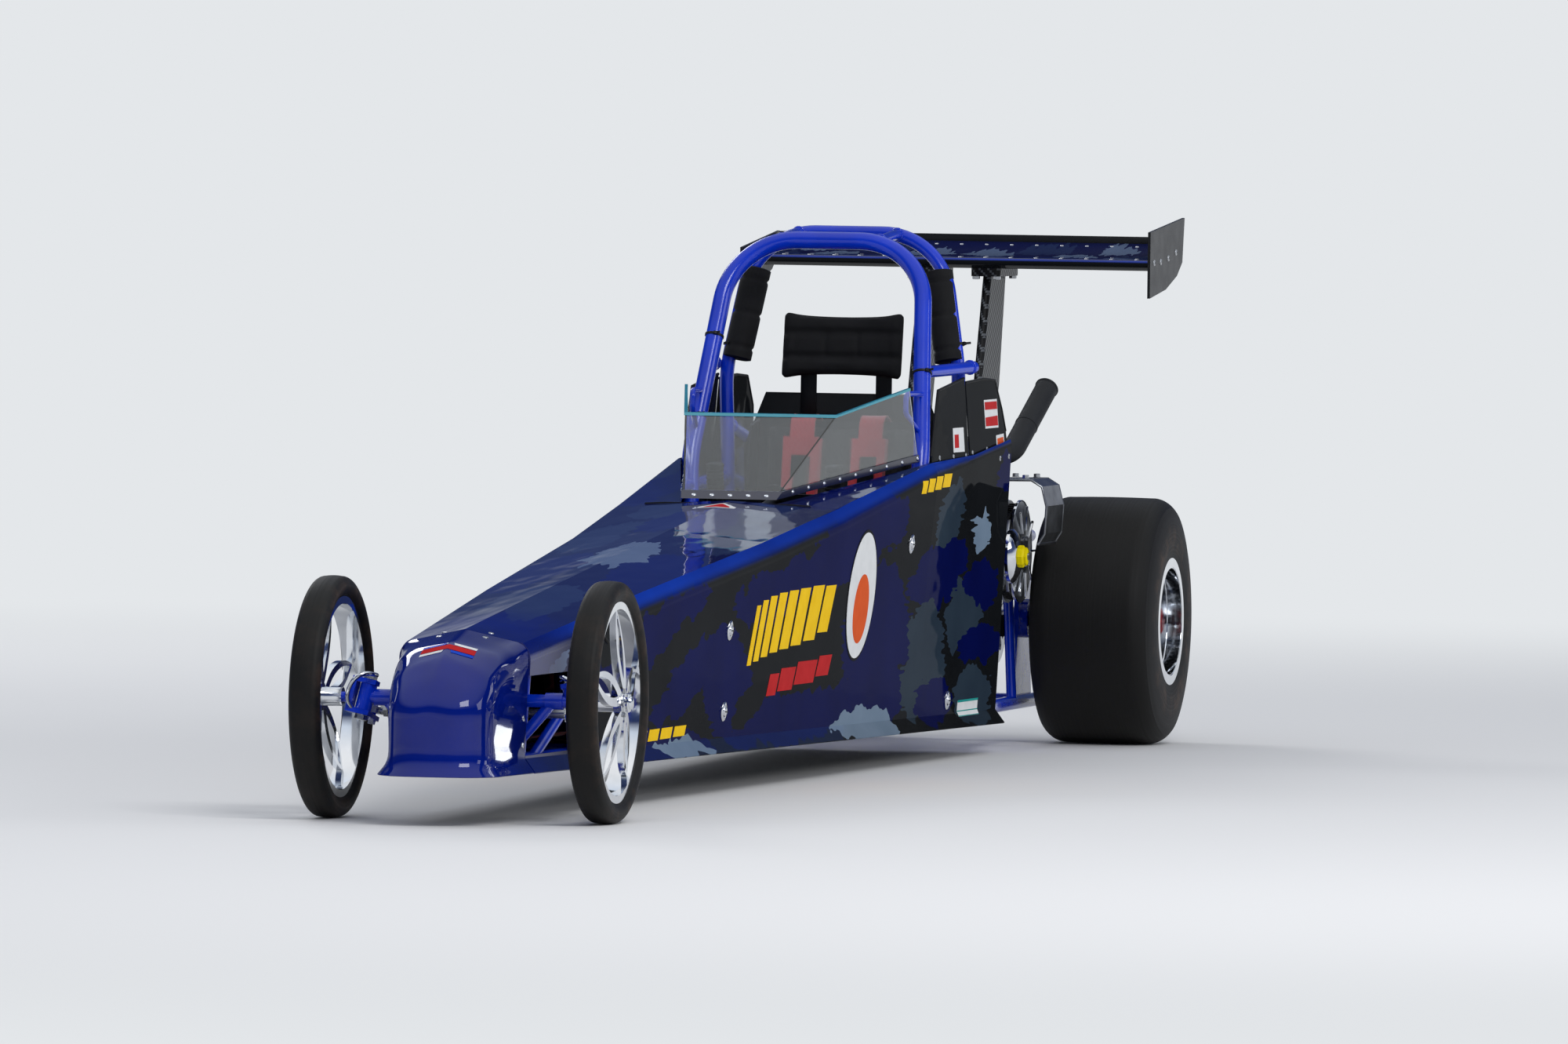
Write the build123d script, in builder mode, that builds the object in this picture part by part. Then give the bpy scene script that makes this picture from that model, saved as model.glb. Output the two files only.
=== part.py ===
from build123d import *
from math import cos, radians, sin, tan
import os

# Half-scale rear-engined drag racing car. Millimetres, +X forward, +Y to the car's left,
# +Z up from the ground, with X = 0 at the middle of the car's length.
# A station is a distance ahead of the rear axle; at() turns a station into X.

os.makedirs("parts", exist_ok=True)

# Driving dimensions
WHEELBASE = 3665.0
REAR_AXLE_X = -1802.5
FRONT_WHEEL_Y = 237.5
REAR_WHEEL_Y = 330.0
FRONT_TYRE_R = 203.0
REAR_TYRE_R = 229.0
SKIN = 2.5
LIP = 18.0
LIP_RISE = 24.0
RUNNING_GAP = 0.3

# Stations along the body
NOSE_TIP = 3925.0
NOSE_SEAM = 3700.0
COWL = 1745.0
HOOP_STATION = 1136.0
BODY_END = 525.0

# Tube radii
RAIL_R = 12.7
HOOP_R = 15.9
REAR_HOOP_R = 12.7
BRACE_R = 9.5
SIDE_BAR_R = 11.0

# Frame heights above the sill, and how far the rails stand in from it
RAIL_LIFT = 6.7 + RAIL_R
RAIL_INSET = 20.0


def at(station):
    """X of a station."""
    return REAR_AXLE_X + station


def place(station, y, z):
    """Point from a station, a distance to the left and a height."""
    return (REAR_AXLE_X + station, y, z)


def save(piece, name):
    """Labels a finished piece and writes its file."""
    piece.part.label = name
    export_step(piece.part, f"parts/{name}.step")


def mirrored(points):
    """The same points on the car's right side, in reverse order."""
    return [(x, -y, z) for x, y, z in reversed(points)]


def tube(points, radius, bends=None):
    """Round bar along straight runs, joined by tangent arcs where bends gives radii."""
    with BuildPart(mode=Mode.PRIVATE) as bar:
        with BuildLine() as route:
            if bends:
                FilletPolyline(*points, radius=bends)
            else:
                Polyline(*points)
        with BuildSketch(Plane(origin=route.line @ 0, z_dir=route.line % 0)):
            Circle(radius)
        sweep()
    return bar.part


def turned(profile, centre):
    """Solid turned about a line along Y through centre, from a closed (radius, y) profile."""
    with BuildPart(mode=Mode.PRIVATE) as piece:
        with BuildSketch(Plane(origin=centre, x_dir=(0, 0, 1), z_dir=(-1, 0, 0))):
            with BuildLine():
                Polyline(*profile, close=True)
            make_face()
        revolve(axis=Axis(centre, (0, 1, 0)))
    return piece.part


def drum(radius, near, far, centre):
    """Round bar along Y from one distance beside centre to another."""
    return turned(((0, near), (radius, near), (radius, far), (0, far)), centre)


# Body sections from the nose seam back. The crease is the lower shoulder line, the edge is
# where the rolled shoulder meets the top, and the ridge is the centre line.
BODY_SECTIONS = (
    # station, crease_y, crease_z, edge_y, edge_z, ridge_z
    (NOSE_SEAM, 113.0, 270.0, 99.0, 300.0, 322.0),
    (3000.0, 150.0, 328.0, 134.0, 364.0, 382.0),
    (2217.0, 188.0, 394.0, 171.0, 430.0, 447.0),
    (COWL, 216.0, 442.0, 198.0, 478.0, 488.0),
    (HOOP_STATION, 246.0, 514.0, 234.0, 545.0, 546.0),
    (830.0, 249.0, 540.0, 246.0, 553.0, 553.5),
    (BODY_END, 250.0, 562.0, 247.0, 575.0, 575.5),
)
SILL_REAR = (226.0, 56.0)
SILL_FRONT = (106.0, 84.0)


def sill(station):
    """Half-width and height of the body's bottom edge."""
    share = (station - BODY_END) / (NOSE_SEAM - BODY_END)
    half = SILL_REAR[0] + share * (SILL_FRONT[0] - SILL_REAR[0])
    low = SILL_REAR[1] + share * (SILL_FRONT[1] - SILL_REAR[1])
    return half, low


def inset(points, gap):
    """Moves an open outline to its left-hand side by a gap, with mitred corners."""
    runs = [Vector(*end) - Vector(*start) for start, end in zip(points, points[1:])]
    sides = [Vector(-run.Y, run.X).normalized() for run in runs]
    moved = []
    for index, point in enumerate(points):
        before = sides[max(index - 1, 0)]
        after = sides[min(index, len(sides) - 1)]
        mitre = (before + after).normalized()
        spot = Vector(*point) + mitre * (gap / mitre.dot(before))
        moved.append((spot.X, spot.Y))
    return moved


def half_outline(section):
    """Outer (y, z) outline of the left half, from the lip up to the ridge and just past it."""
    station, crease_y, crease_z, edge_y, edge_z, ridge_z = section
    half, low = sill(station)
    lip = [(half + LIP, low), (half, low + LIP_RISE)]
    return lip + [(crease_y, crease_z), (edge_y, edge_z), (0.0, ridge_z), (-edge_y, edge_z)]


def roll_middle(before, start, end):
    """Middle of the arc from start to end that leaves start along the run from before."""
    run = Vector(*start) - Vector(*before)
    chord = Vector(*end) - Vector(*start)
    rise = chord.length / 2 * tan(radians(run.get_angle(chord)) / 2)
    side = Vector(chord.Y, -chord.X).normalized() * rise
    middle = (Vector(*start) + Vector(*end)) * 0.5 + side
    return middle.X, middle.Y


def side_outline(section):
    """Draws the closed outline of the left side panel: lip, side and rolled shoulder."""
    outer = half_outline(section)
    inner = inset(outer, SKIN)
    Polyline(*outer[:3])
    ThreePointArc(outer[2], roll_middle(*outer[1:4]), outer[3])
    Line(outer[3], inner[3])
    ThreePointArc(inner[3], roll_middle(*inner[1:4]), inner[2])
    Polyline(inner[2], inner[1], inner[0], outer[0])


def hood_outline(section):
    """Draws the closed outline of the gabled top panel between the two shoulder edges."""
    outer = half_outline(section)
    inner = inset(outer, SKIN)
    left, ridge = outer[3:5]
    left_in, ridge_in = inner[3:5]
    top = [left, ridge, (-left[0], left[1])]
    Polyline(*top, (-left_in[0], left_in[1]), ridge_in, left_in, close=True)


def skin(sections, outline):
    """Ruled panel through the closed outline that is drawn for each section."""
    with BuildPart(mode=Mode.PRIVATE) as panel:
        for section in sections:
            with BuildSketch(Plane.YZ.offset(at(section[0]))):
                with BuildLine():
                    outline(section)
                make_face()
        loft(ruled=True)
    return panel.part


# Openings in the body
AXLE_GAP_REAR = 3370.0
AXLE_GAP_LOW = 112.0
AXLE_GAP_HIGH = 246.0
AXLE_GAP_CORNER = 50.0
COCKPIT_FRONT_Y = 87.0
COCKPIT_REAR_Y = 231.5

with BuildPart() as side_panels:
    add(skin(BODY_SECTIONS, side_outline))
    with BuildSketch(Plane.XZ.offset(-300.0)):
        gap_mid = (AXLE_GAP_LOW + AXLE_GAP_HIGH) / 2
        with Locations((at(NOSE_SEAM), gap_mid)):
            RectangleRounded(2 * (NOSE_SEAM - AXLE_GAP_REAR), AXLE_GAP_HIGH - AXLE_GAP_LOW, AXLE_GAP_CORNER)
    extrude(amount=260.0, mode=Mode.SUBTRACT)
    mirror(about=Plane.XZ)
save(side_panels, "side_panels")

with BuildPart() as hood:
    add(skin(BODY_SECTIONS[:5], hood_outline))
    with BuildSketch(Plane.XY.offset(700.0)):
        with BuildLine():
            Polyline(
                (at(COWL), COCKPIT_FRONT_Y),
                (at(HOOP_STATION - 5.0), COCKPIT_REAR_Y),
                (at(HOOP_STATION - 5.0), -COCKPIT_REAR_Y),
                (at(COWL), -COCKPIT_FRONT_Y),
                close=True,
            )
        make_face()
    extrude(amount=-400.0, mode=Mode.SUBTRACT)
save(hood, "hood")

# Nose cone: a rounded plan cut off by a falling gable with a two-sided shoulder. wall_z is
# the height at which the shoulder's lower plane reaches NOSE_WALL_Y.
NOSE_WALL_Y = 130.0
NOSE_CORNER_R = 60.0
NOSE_FRONT_Y = 80.0
NOSE_LEAN = 1.6
NOSE_ROUND = 14.0
CREASE_LOW = 160.0
NOSE_SECTIONS = (
    # station, edge_y, edge_z, ridge_z, roll_y, roll_z, wall_z
    (NOSE_SEAM, 99.0, 300.0, 322.0, 109.5, 286.5, 187.0),
    (3800.0, 80.0, 284.0, 303.0, 97.5, 261.5, 131.0),
    (3860.0, 60.0, 262.0, 279.0, 82.0, 246.0, 110.0),
    (3900.0, 42.0, 232.0, 245.0, 60.0, 226.0, 104.0),
    (NOSE_TIP + 12.0, 30.0, 186.0, 192.0, 52.0, 180.0, 95.0),
)


def nose_plan(grow):
    """Plan of the nose at its bottom edge, grown outwards all round."""
    with BuildSketch(Plane.XY.offset(SILL_FRONT[1]), mode=Mode.PRIVATE) as plan:
        with BuildLine():
            FilletPolyline(
                (at(NOSE_SEAM - 8.0), -SILL_FRONT[0] - grow),
                (at(NOSE_TIP) + grow, -NOSE_FRONT_Y - grow),
                (at(NOSE_TIP) + grow, NOSE_FRONT_Y + grow),
                (at(NOSE_SEAM - 8.0), SILL_FRONT[0] + grow),
                radius=[NOSE_CORNER_R + grow, NOSE_CORNER_R + grow],
            )
            Line((at(NOSE_SEAM - 8.0), SILL_FRONT[0] + grow), (at(NOSE_SEAM - 8.0), -SILL_FRONT[0] - grow))
        make_face()
    return plan.sketch


def nose_form(wall, start, floor):
    """Solid nose, with its skin pared back by wall, from a station forward and a height up."""
    with BuildPart(mode=Mode.PRIVATE) as form:
        add(nose_plan(-wall))
        extrude(amount=300.0, taper=-NOSE_LEAN)
        for station, edge_y, edge_z, ridge_z, roll_y, roll_z, wall_z in NOSE_SECTIONS:
            front = station if station > NOSE_SEAM else start
            drop = 1.25 * wall
            with BuildSketch(Plane.YZ.offset(at(front))):
                with BuildLine():
                    Polyline(
                        (-NOSE_WALL_Y, floor),
                        (NOSE_WALL_Y, floor),
                        (NOSE_WALL_Y, wall_z - drop),
                        (roll_y - wall, roll_z - wall),
                        (edge_y, edge_z - drop),
                        (0.0, ridge_z - drop),
                        (-edge_y, edge_z - drop),
                        (wall - roll_y, roll_z - wall),
                        (-NOSE_WALL_Y, wall_z - drop),
                        close=True,
                    )
                make_face()
        loft(ruled=True, mode=Mode.INTERSECT)
    return form.part


with BuildPart() as nose_cone:
    add(nose_form(0.0, NOSE_SEAM + 1.0, SILL_FRONT[1]))
    creases = nose_cone.edges().filter_by_position(Axis.X, at(NOSE_SEAM + 5.0), at(NOSE_TIP))
    fillet(creases.filter_by_position(Axis.Z, CREASE_LOW, NOSE_SECTIONS[0][3]), NOSE_ROUND)
    with BuildPart(mode=Mode.PRIVATE) as lip_form:
        add(nose_plan(LIP))
        add(nose_plan(0.0).moved(Location((0, 0, LIP_RISE))))
        loft()
        split(bisect_by=Plane.YZ.offset(at(NOSE_SEAM + 1.0)), keep=Keep.TOP)
    add(lip_form.part)
    add(nose_form(SKIN, NOSE_SEAM - 5.0, SILL_FRONT[1] - 5.0), mode=Mode.SUBTRACT)
save(nose_cone, "nose_cone")

# Belly pan between the lips, laid along the sloping sill
PAN_CLEAR = 4.0
PAN_FRONT = NOSE_TIP - 70.0
pan_low = sill(BODY_END)[1] + PAN_CLEAR
pan_high = sill(NOSE_SEAM)[1] + PAN_CLEAR
pan_run = NOSE_SEAM - BODY_END
with BuildPart() as belly_pan:
    with BuildSketch(
        Plane(
            origin=place(BODY_END, 0, pan_low),
            x_dir=(pan_run, 0, pan_high - pan_low),
            z_dir=(pan_low - pan_high, 0, pan_run),
        )
    ):
        with BuildLine():
            Polyline(
                (0, -SILL_REAR[0] + PAN_CLEAR),
                (pan_run, -SILL_FRONT[0] + PAN_CLEAR),
                (PAN_FRONT - BODY_END, -NOSE_FRONT_Y + 6.0),
                (PAN_FRONT - BODY_END, NOSE_FRONT_Y - 6.0),
                (pan_run, SILL_FRONT[0] - PAN_CLEAR),
                (0, SILL_REAR[0] - PAN_CLEAR),
                close=True,
            )
        make_face()
    extrude(amount=SKIN)
save(belly_pan, "belly_pan")

# Main rails
REAR_RAIL_Y = 170.0
REAR_RAIL_Z = 76.0
RAIL_END = -110.0
REAR_TOP_Z = 380.0
REAR_TOP_Y = 150.0
RAIL_FRONT = 3690.0


def low_rail(station):
    """Centre of the left lower rail beside the body's sill."""
    half, low = sill(station)
    return place(station, half - RAIL_INSET, low + RAIL_LIFT)


lower_points = [low_rail(RAIL_FRONT), low_rail(620.0), place(300.0, REAR_RAIL_Y, REAR_RAIL_Z)]
lower_points.append(place(RAIL_END, REAR_RAIL_Y, REAR_RAIL_Z))
upper_points = [
    place(3650.0, 92.0, 256.0),
    place(COWL, 186.0, 430.0),
    place(1150.0, 212.0, 496.0),
    place(836.0, 214.0, 502.0),
    place(440.0, 160.0, 440.0),
    place(RAIL_END, REAR_TOP_Y, REAR_TOP_Z),
]
LOWER_BENDS = [600.0, 600.0]
UPPER_BENDS = [900.0, 500.0, 400.0, 600.0]

front_hoop_points = [
    place(1215.0, low_rail(1215.0)[1], low_rail(1215.0)[2]),
    place(HOOP_STATION, 214.0, 543.0),
    place(964.0, 176.0, 940.0),
]
rear_hoop_points = [
    place(850.0, low_rail(850.0)[1], low_rail(850.0)[2]),
    place(836.0, 217.0, 700.0),
    place(792.0, 172.0, 952.0),
]
HOOP_BENDS = [260.0, 130.0, 130.0, 260.0]

lower_rail = tube(lower_points, RAIL_R, LOWER_BENDS)
right_lower_rail = mirror(lower_rail, about=Plane.XZ, mode=Mode.PRIVATE)
upper_rail = tube(upper_points, RAIL_R, UPPER_BENDS)
front_hoop_bar = tube(front_hoop_points + mirrored(front_hoop_points), HOOP_R, HOOP_BENDS)
rear_hoop_bar = tube(rear_hoop_points + mirrored(rear_hoop_points), REAR_HOOP_R, HOOP_BENDS)

# The open rear end of each lower rail takes a leg of a wheelie bar
BAR_SOCKET_R = 9.7
BAR_SOCKET_DEPTH = 60.0
with BuildPart() as main_rails:
    add(upper_rail)
    add(front_hoop_bar, mode=Mode.SUBTRACT)
    add(rear_hoop_bar, mode=Mode.SUBTRACT)
    add(lower_rail)
    with BuildSketch(Plane.YZ.offset(at(RAIL_END))):
        with Locations((REAR_RAIL_Y, REAR_RAIL_Z)):
            Circle(BAR_SOCKET_R)
    extrude(amount=BAR_SOCKET_DEPTH, mode=Mode.SUBTRACT)
    mirror(about=Plane.XZ)
save(main_rails, "main_rails")

# Roll hoops; a bent rod on each leg of the front one holds the screen's top corner
SCREEN_ROD = [place(1080.0, 206.0, 668.0), place(1196.0, 196.0, 670.0), place(1196.0, 196.0, 634.0)]
SCREEN_ROD.append(place(1112.0, 207.0, 598.0))
with BuildPart() as roll_hoops:
    add(front_hoop_bar)
    add(rear_hoop_bar)
    for points in (SCREEN_ROD, mirrored(SCREEN_ROD)):
        add(tube(points, 5.0, [14.0, 14.0]))
    add(lower_rail, mode=Mode.SUBTRACT)
    add(right_lower_rail, mode=Mode.SUBTRACT)
save(roll_hoops, "roll_hoops")


def on_line(points, station):
    """Point at a station on a polyline of points that run rearwards."""
    x = at(station)
    for start, end in zip(points, points[1:]):
        if end[0] <= x <= start[0]:
            share = (start[0] - x) / (start[0] - end[0])
            return tuple(a + share * (b - a) for a, b in zip(start, end))
    raise ValueError(f"station {station} is off the line")


# Front axle: a straight tube with leaning kingpin housings and a brace down to each rail
AXLE_Z = FRONT_TYRE_R
AXLE_R = 11.0
KINGPIN_Y = 178.0
KINGPIN_LEAN = 12.0
CASTER = 9.0
HOUSING_R = 14.0
HOUSING_HALF = 22.0
KINGPIN_R = 6.0

lean = radians(KINGPIN_LEAN)
kingpin_dir = Vector(-sin(radians(CASTER)), -sin(lean), cos(lean)).normalized()
kingpin_at = Vector(at(WHEELBASE), KINGPIN_Y, AXLE_Z)
kingpin_plane = Plane(origin=kingpin_at, z_dir=kingpin_dir)

AXLE_BRACE_TOP = (140.0, 197.0)
AXLE_BRACE_FOOT_Y = 84.0
axle_brace = tube(
    [place(WHEELBASE, *AXLE_BRACE_TOP), place(WHEELBASE, AXLE_BRACE_FOOT_Y, low_rail(WHEELBASE)[2] + 30.0)],
    BRACE_R,
)
axle_half = KINGPIN_Y - 6.0
axle_bar = tube([place(WHEELBASE, -axle_half, AXLE_Z), place(WHEELBASE, axle_half, AXLE_Z)], AXLE_R)
with BuildPart() as axle_end:
    with BuildSketch(kingpin_plane):
        Circle(HOUSING_R)
    extrude(amount=HOUSING_HALF, both=True)
    add(axle_brace)
with BuildPart() as front_axle:
    add(axle_end.part)
    mirror(about=Plane.XZ)
    add(axle_bar)
    for side in (1, -1):
        with BuildSketch(Plane.XZ.offset(-side * (KINGPIN_Y - HOUSING_R - 2.0))):
            with Locations((at(WHEELBASE), AXLE_Z)):
                Circle(AXLE_R + 3.0)
        extrude(amount=side * 30.0)
        pin_dir = Vector(kingpin_dir.X, side * kingpin_dir.Y, kingpin_dir.Z)
        with BuildSketch(Plane(origin=place(WHEELBASE, side * KINGPIN_Y, AXLE_Z), z_dir=pin_dir)):
            Circle(KINGPIN_R + RUNNING_GAP)
        extrude(amount=60.0, both=True, mode=Mode.SUBTRACT)
save(front_axle, "front_axle")

# Frame members between the rails, coped where they meet round tubes
UPRIGHT_STATIONS = (WHEELBASE, 3050.0, 2430.0, 1810.0, 620.0, 120.0)
DIAGONALS = (
    # station at the lower rail, station at the upper rail
    (3590.0, 3110.0),
    (2990.0, 2490.0),
    (2370.0, 1870.0),
    (1750.0, 1260.0),
)
CROSS_LOW = (WHEELBASE - 82.0, 3050.0, 2430.0, 1810.0, 1215.0, 850.0, 560.0, 120.0, -90.0)
CROSS_HIGH = (3200.0, 2600.0, 600.0, 140.0, -90.0)


def brace(low_station, high_station):
    """Left-hand member from the lower rail to the upper rail."""
    return tube([on_line(lower_points, low_station), on_line(upper_points, high_station)], BRACE_R)


pairs = [(station, min(station, 3648.0)) for station in UPRIGHT_STATIONS] + list(DIAGONALS)
with BuildPart() as frame_braces:
    for low_station, high_station in pairs:
        add(brace(low_station, high_station))
    add(upper_rail, mode=Mode.SUBTRACT)
    add(lower_rail, mode=Mode.SUBTRACT)
    mirror(about=Plane.XZ)
    add(front_axle.part, mode=Mode.SUBTRACT)
save(frame_braces, "frame_braces")

with BuildPart() as cross_tubes:
    for rail, stations in ((lower_points, CROSS_LOW), (upper_points, CROSS_HIGH)):
        for station in stations:
            x, y, z = on_line(rail, station)
            add(tube([(x, y, z), (x, -y, z)], BRACE_R))
    for cutter in (main_rails, roll_hoops, frame_braces):
        add(cutter.part, mode=Mode.SUBTRACT)
    add(lower_rail, mode=Mode.SUBTRACT)
    add(right_lower_rail, mode=Mode.SUBTRACT)
save(cross_tubes, "cross_tubes")

# Cage bars: one outside each side of the hoops, two along the roof, and the rear stays
SIDE_BAR_FRONT = place(1064.0, 198.0, 706.0)
SIDE_BAR_REAR = place(826.0, 241.0, 712.0)
ROOF_BAR_Y = 92.0
STAY_TOP = place(834.0, 212.0, 600.0)
STAY_FOOT = place(-90.0, REAR_TOP_Y - 6.0, REAR_TOP_Z + 4.0)
with BuildPart() as cage_bars:
    add(tube([SIDE_BAR_FRONT, SIDE_BAR_REAR], SIDE_BAR_R))
    add(tube([place(964.0, ROOF_BAR_Y, 940.0), place(792.0, ROOF_BAR_Y, 952.0)], BRACE_R))
    add(tube([STAY_TOP, STAY_FOOT], SIDE_BAR_R))
    mirror(about=Plane.XZ)
    for cutter in (roll_hoops, main_rails, cross_tubes, frame_braces):
        add(cutter.part, mode=Mode.SUBTRACT)
save(cage_bars, "cage_bars")

# Upper body sides between the hoops and behind them
SHOULDER_SECTIONS = (
    # station, foot_y, foot_z, top_y, top_z
    (1118.0, 231.0, 536.0, 229.5, 556.0),
    (1062.0, 232.0, 537.0, 229.0, 674.0),
    (850.0, 241.0, 540.0, 230.0, 692.0),
)
FIN_SECTIONS = (
    (838.0, 241.5, 542.0, 230.0, 684.0),
    (690.0, 242.5, 548.0, 232.0, 688.0),
    (600.0, 243.0, 552.0, 233.0, 684.0),
    (545.0, 243.0, 555.0, 235.0, 630.0),
    (527.0, 243.0, 556.0, 239.0, 590.0),
)


def wall_outline(section):
    """Draws the closed outline of an upright sheet from its foot to its top edge."""
    station, foot_y, foot_z, top_y, top_z = section
    foot = (foot_y, foot_z)
    Polyline(foot, (top_y, top_z), (top_y - SKIN, top_z), (foot_y - SKIN, foot_z), close=True)


with BuildPart() as shoulder_panels:
    add(skin(SHOULDER_SECTIONS, wall_outline))
    mirror(about=Plane.XZ)
save(shoulder_panels, "shoulder_panels")

with BuildPart() as rear_fins:
    add(skin(FIN_SECTIONS, wall_outline))
    mirror(about=Plane.XZ)
save(rear_fins, "rear_fins")

# Windscreen: a block with leaning faces, hollowed and open behind
SCREEN_T = 3.0
SCREEN_RUNS = (
    # base station, base_y, base_z, top station, top_y, top_z
    (COWL, 84.0, 491.0, 1505.0, 138.0, 632.0),
    (1150.0, 212.0, 547.0, 1205.0, 207.0, 676.0),
)


def screen_block(grow, low, high, back=0.0):
    """The space under the screen between two shares of its height, grown outwards."""
    with BuildPart(mode=Mode.PRIVATE) as block:
        for share in (low, high):
            ends = []
            for base_a, base_y, base_z, top_a, top_y, top_z in SCREEN_RUNS:
                station = base_a + share * (top_a - base_a)
                centre = Vector(at(station), 0, base_z + share * (top_z - base_z))
                ends.append((centre, base_y + share * (top_y - base_y) + grow))
            (front, front_y), (rear, rear_y) = ends
            along = (front - rear).normalized()
            reach = (front - rear).length
            with BuildSketch(Plane(origin=rear, x_dir=along, z_dir=along.cross(Vector(0, 1, 0)))):
                with BuildLine():
                    Polyline(
                        (-back, -rear_y),
                        (0, -rear_y),
                        (reach + grow, -front_y),
                        (reach + grow, front_y),
                        (0, rear_y),
                        (-back, rear_y),
                        close=True,
                    )
                make_face()
        loft(ruled=True)
    return block.part


with BuildPart() as windscreen:
    add(screen_block(0.0, 0.0, 1.0, back=1.0))
    add(screen_block(-SCREEN_T, -0.1, 1.1, back=40.0), mode=Mode.SUBTRACT)
    add(roll_hoops.part, mode=Mode.SUBTRACT)
save(windscreen, "windscreen")

# Riveted flange round the foot of the screen, and the bound top edge
FLANGE_SHARE = 0.10
FLANGE_T = 2.7
with BuildPart() as screen_trim:
    add(screen_block(FLANGE_T, 0.0, FLANGE_SHARE, back=1.0))
    add(screen_block(0.0, -0.1, 1.1, back=40.0), mode=Mode.SUBTRACT)
    with BuildPart(mode=Mode.PRIVATE) as binding:
        add(screen_block(1.2, 1.0, 1.035, back=1.0))
        add(screen_block(-SCREEN_T - 1.2, 0.5, 1.2, back=40.0), mode=Mode.SUBTRACT)
    add(binding.part)
    add(roll_hoops.part, mode=Mode.SUBTRACT)
save(screen_trim, "screen_trim")

# Firewall behind the seat and the dash panel ahead of the wheel
FIREWALL_STATION = 802.0
DASH_STATION = 1752.0
DASH_HOLE_Z = 432.0
with BuildPart() as firewall:
    with BuildSketch(Plane.YZ.offset(at(FIREWALL_STATION))):
        with BuildLine():
            Polyline((-178, 92), (178, 92), (190, 560), (150, 660), (-150, 660), (-190, 560), close=True)
        make_face()
    extrude(amount=-SKIN)
save(firewall, "firewall")

with BuildPart() as dash_panel:
    with BuildSketch(Plane.YZ.offset(at(DASH_STATION))):
        with BuildLine():
            Polyline(
                (-168, 398), (168, 398), (172, 450), (150, 482), (0, 490), (-150, 482), (-172, 450),
                close=True,
            )
        make_face()
        with Locations((0, DASH_HOLE_Z)):
            Circle(22.0, mode=Mode.SUBTRACT)
    extrude(amount=SKIN)
    add(hood.part, mode=Mode.SUBTRACT)
    add(main_rails.part, mode=Mode.SUBTRACT)
    split(bisect_by=Plane(origin=(0, 0, 484.0)), keep=Keep.BOTTOM)
save(dash_panel, "dash_panel")

# Seat: a bent shell with side bolsters, and its pads
SEAT_HALF = 150.0
SEAT_T = 4.0
SEAT_SIDE = (
    # station, z along the shell's underside, front to back
    (1345.0, 138.0),
    (1060.0, 112.0),
    (900.0, 250.0),
    (846.0, 610.0),
)
PAD_T = 34.0


def seat_sheet(low, high, left, right, side_line=SEAT_SIDE):
    """Sheet between two offsets from the seat's side line, from one y to a lesser one."""
    line = [(at(station), z) for station, z in side_line]
    under = inset(line, -low)
    over = inset(line, -high)
    with BuildPart(mode=Mode.PRIVATE) as sheet:
        with BuildSketch(Plane.XZ.offset(-left)):
            with BuildLine():
                Polyline(*under, *reversed(over), close=True)
            make_face()
        extrude(amount=left - right)
    return sheet.part


BOLSTER = (
    # station, z round the side wing of the seat
    (1345, 138), (1060, 112), (900, 250), (846, 610), (915, 600), (985, 330), (1110, 225), (1345, 190),
)
with BuildPart() as seat_shell:
    add(seat_sheet(0.0, SEAT_T, SEAT_HALF, -SEAT_HALF))
    for left in (SEAT_HALF + SEAT_T, -SEAT_HALF):
        with BuildSketch(Plane.XZ.offset(-left)):
            with BuildLine():
                Polyline(*[(at(station), z) for station, z in BOLSTER], close=True)
            make_face()
        extrude(amount=SEAT_T)
save(seat_shell, "seat_shell")

with BuildPart() as seat_pads:
    add(seat_sheet(SEAT_T + 0.3, SEAT_T + PAD_T, SEAT_HALF - 6.0, 6.0 - SEAT_HALF))
save(seat_pads, "seat_pads")

# Foam sleeves on the inner side of the rear hoop's legs, and the head pad between them
PAD_R = 27.0
PAD_SHIFT = 15.0
with BuildPart() as cage_pads:
    for side in (1, -1):
        foot = Vector(at(834.0), side * (213.0 - PAD_SHIFT), 720.0)
        top = Vector(at(803.0), side * (184.0 - PAD_SHIFT), 885.0)
        with BuildSketch(Plane(origin=foot, z_dir=top - foot)):
            Circle(PAD_R)
        extrude(amount=(top - foot).length)
    with BuildSketch(Plane(origin=place(822.0, 0, 745.0), x_dir=(0, 1, 0), z_dir=(1, 0, 0.2))):
        RectangleRounded(250.0, 150.0, 30.0)
    extrude(amount=34.0)
    add(rear_hoop_bar, mode=Mode.SUBTRACT)
save(cage_pads, "cage_pads")

# Harness straps lying on the seat pads: two over the shoulders and one across the lap
STRAP_W = 45.0
STRAP_T = 3.0
STRAP_Y = 62.0
STRAP_LOW = SEAT_T + PAD_T + 0.2
SHOULDER_LINE = ((891.9, 304.0), (847.1, 602.8))
LAP_LINE = ((1160.0, 121.1), (1115.0, 117.0))
with BuildPart() as harness:
    for y in (STRAP_Y, -STRAP_Y):
        add(seat_sheet(STRAP_LOW, STRAP_LOW + STRAP_T, y + STRAP_W / 2, y - STRAP_W / 2, SHOULDER_LINE))
    add(seat_sheet(STRAP_LOW, STRAP_LOW + STRAP_T, SEAT_HALF - 8.0, 8.0 - SEAT_HALF, LAP_LINE))
save(harness, "harness")

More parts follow.
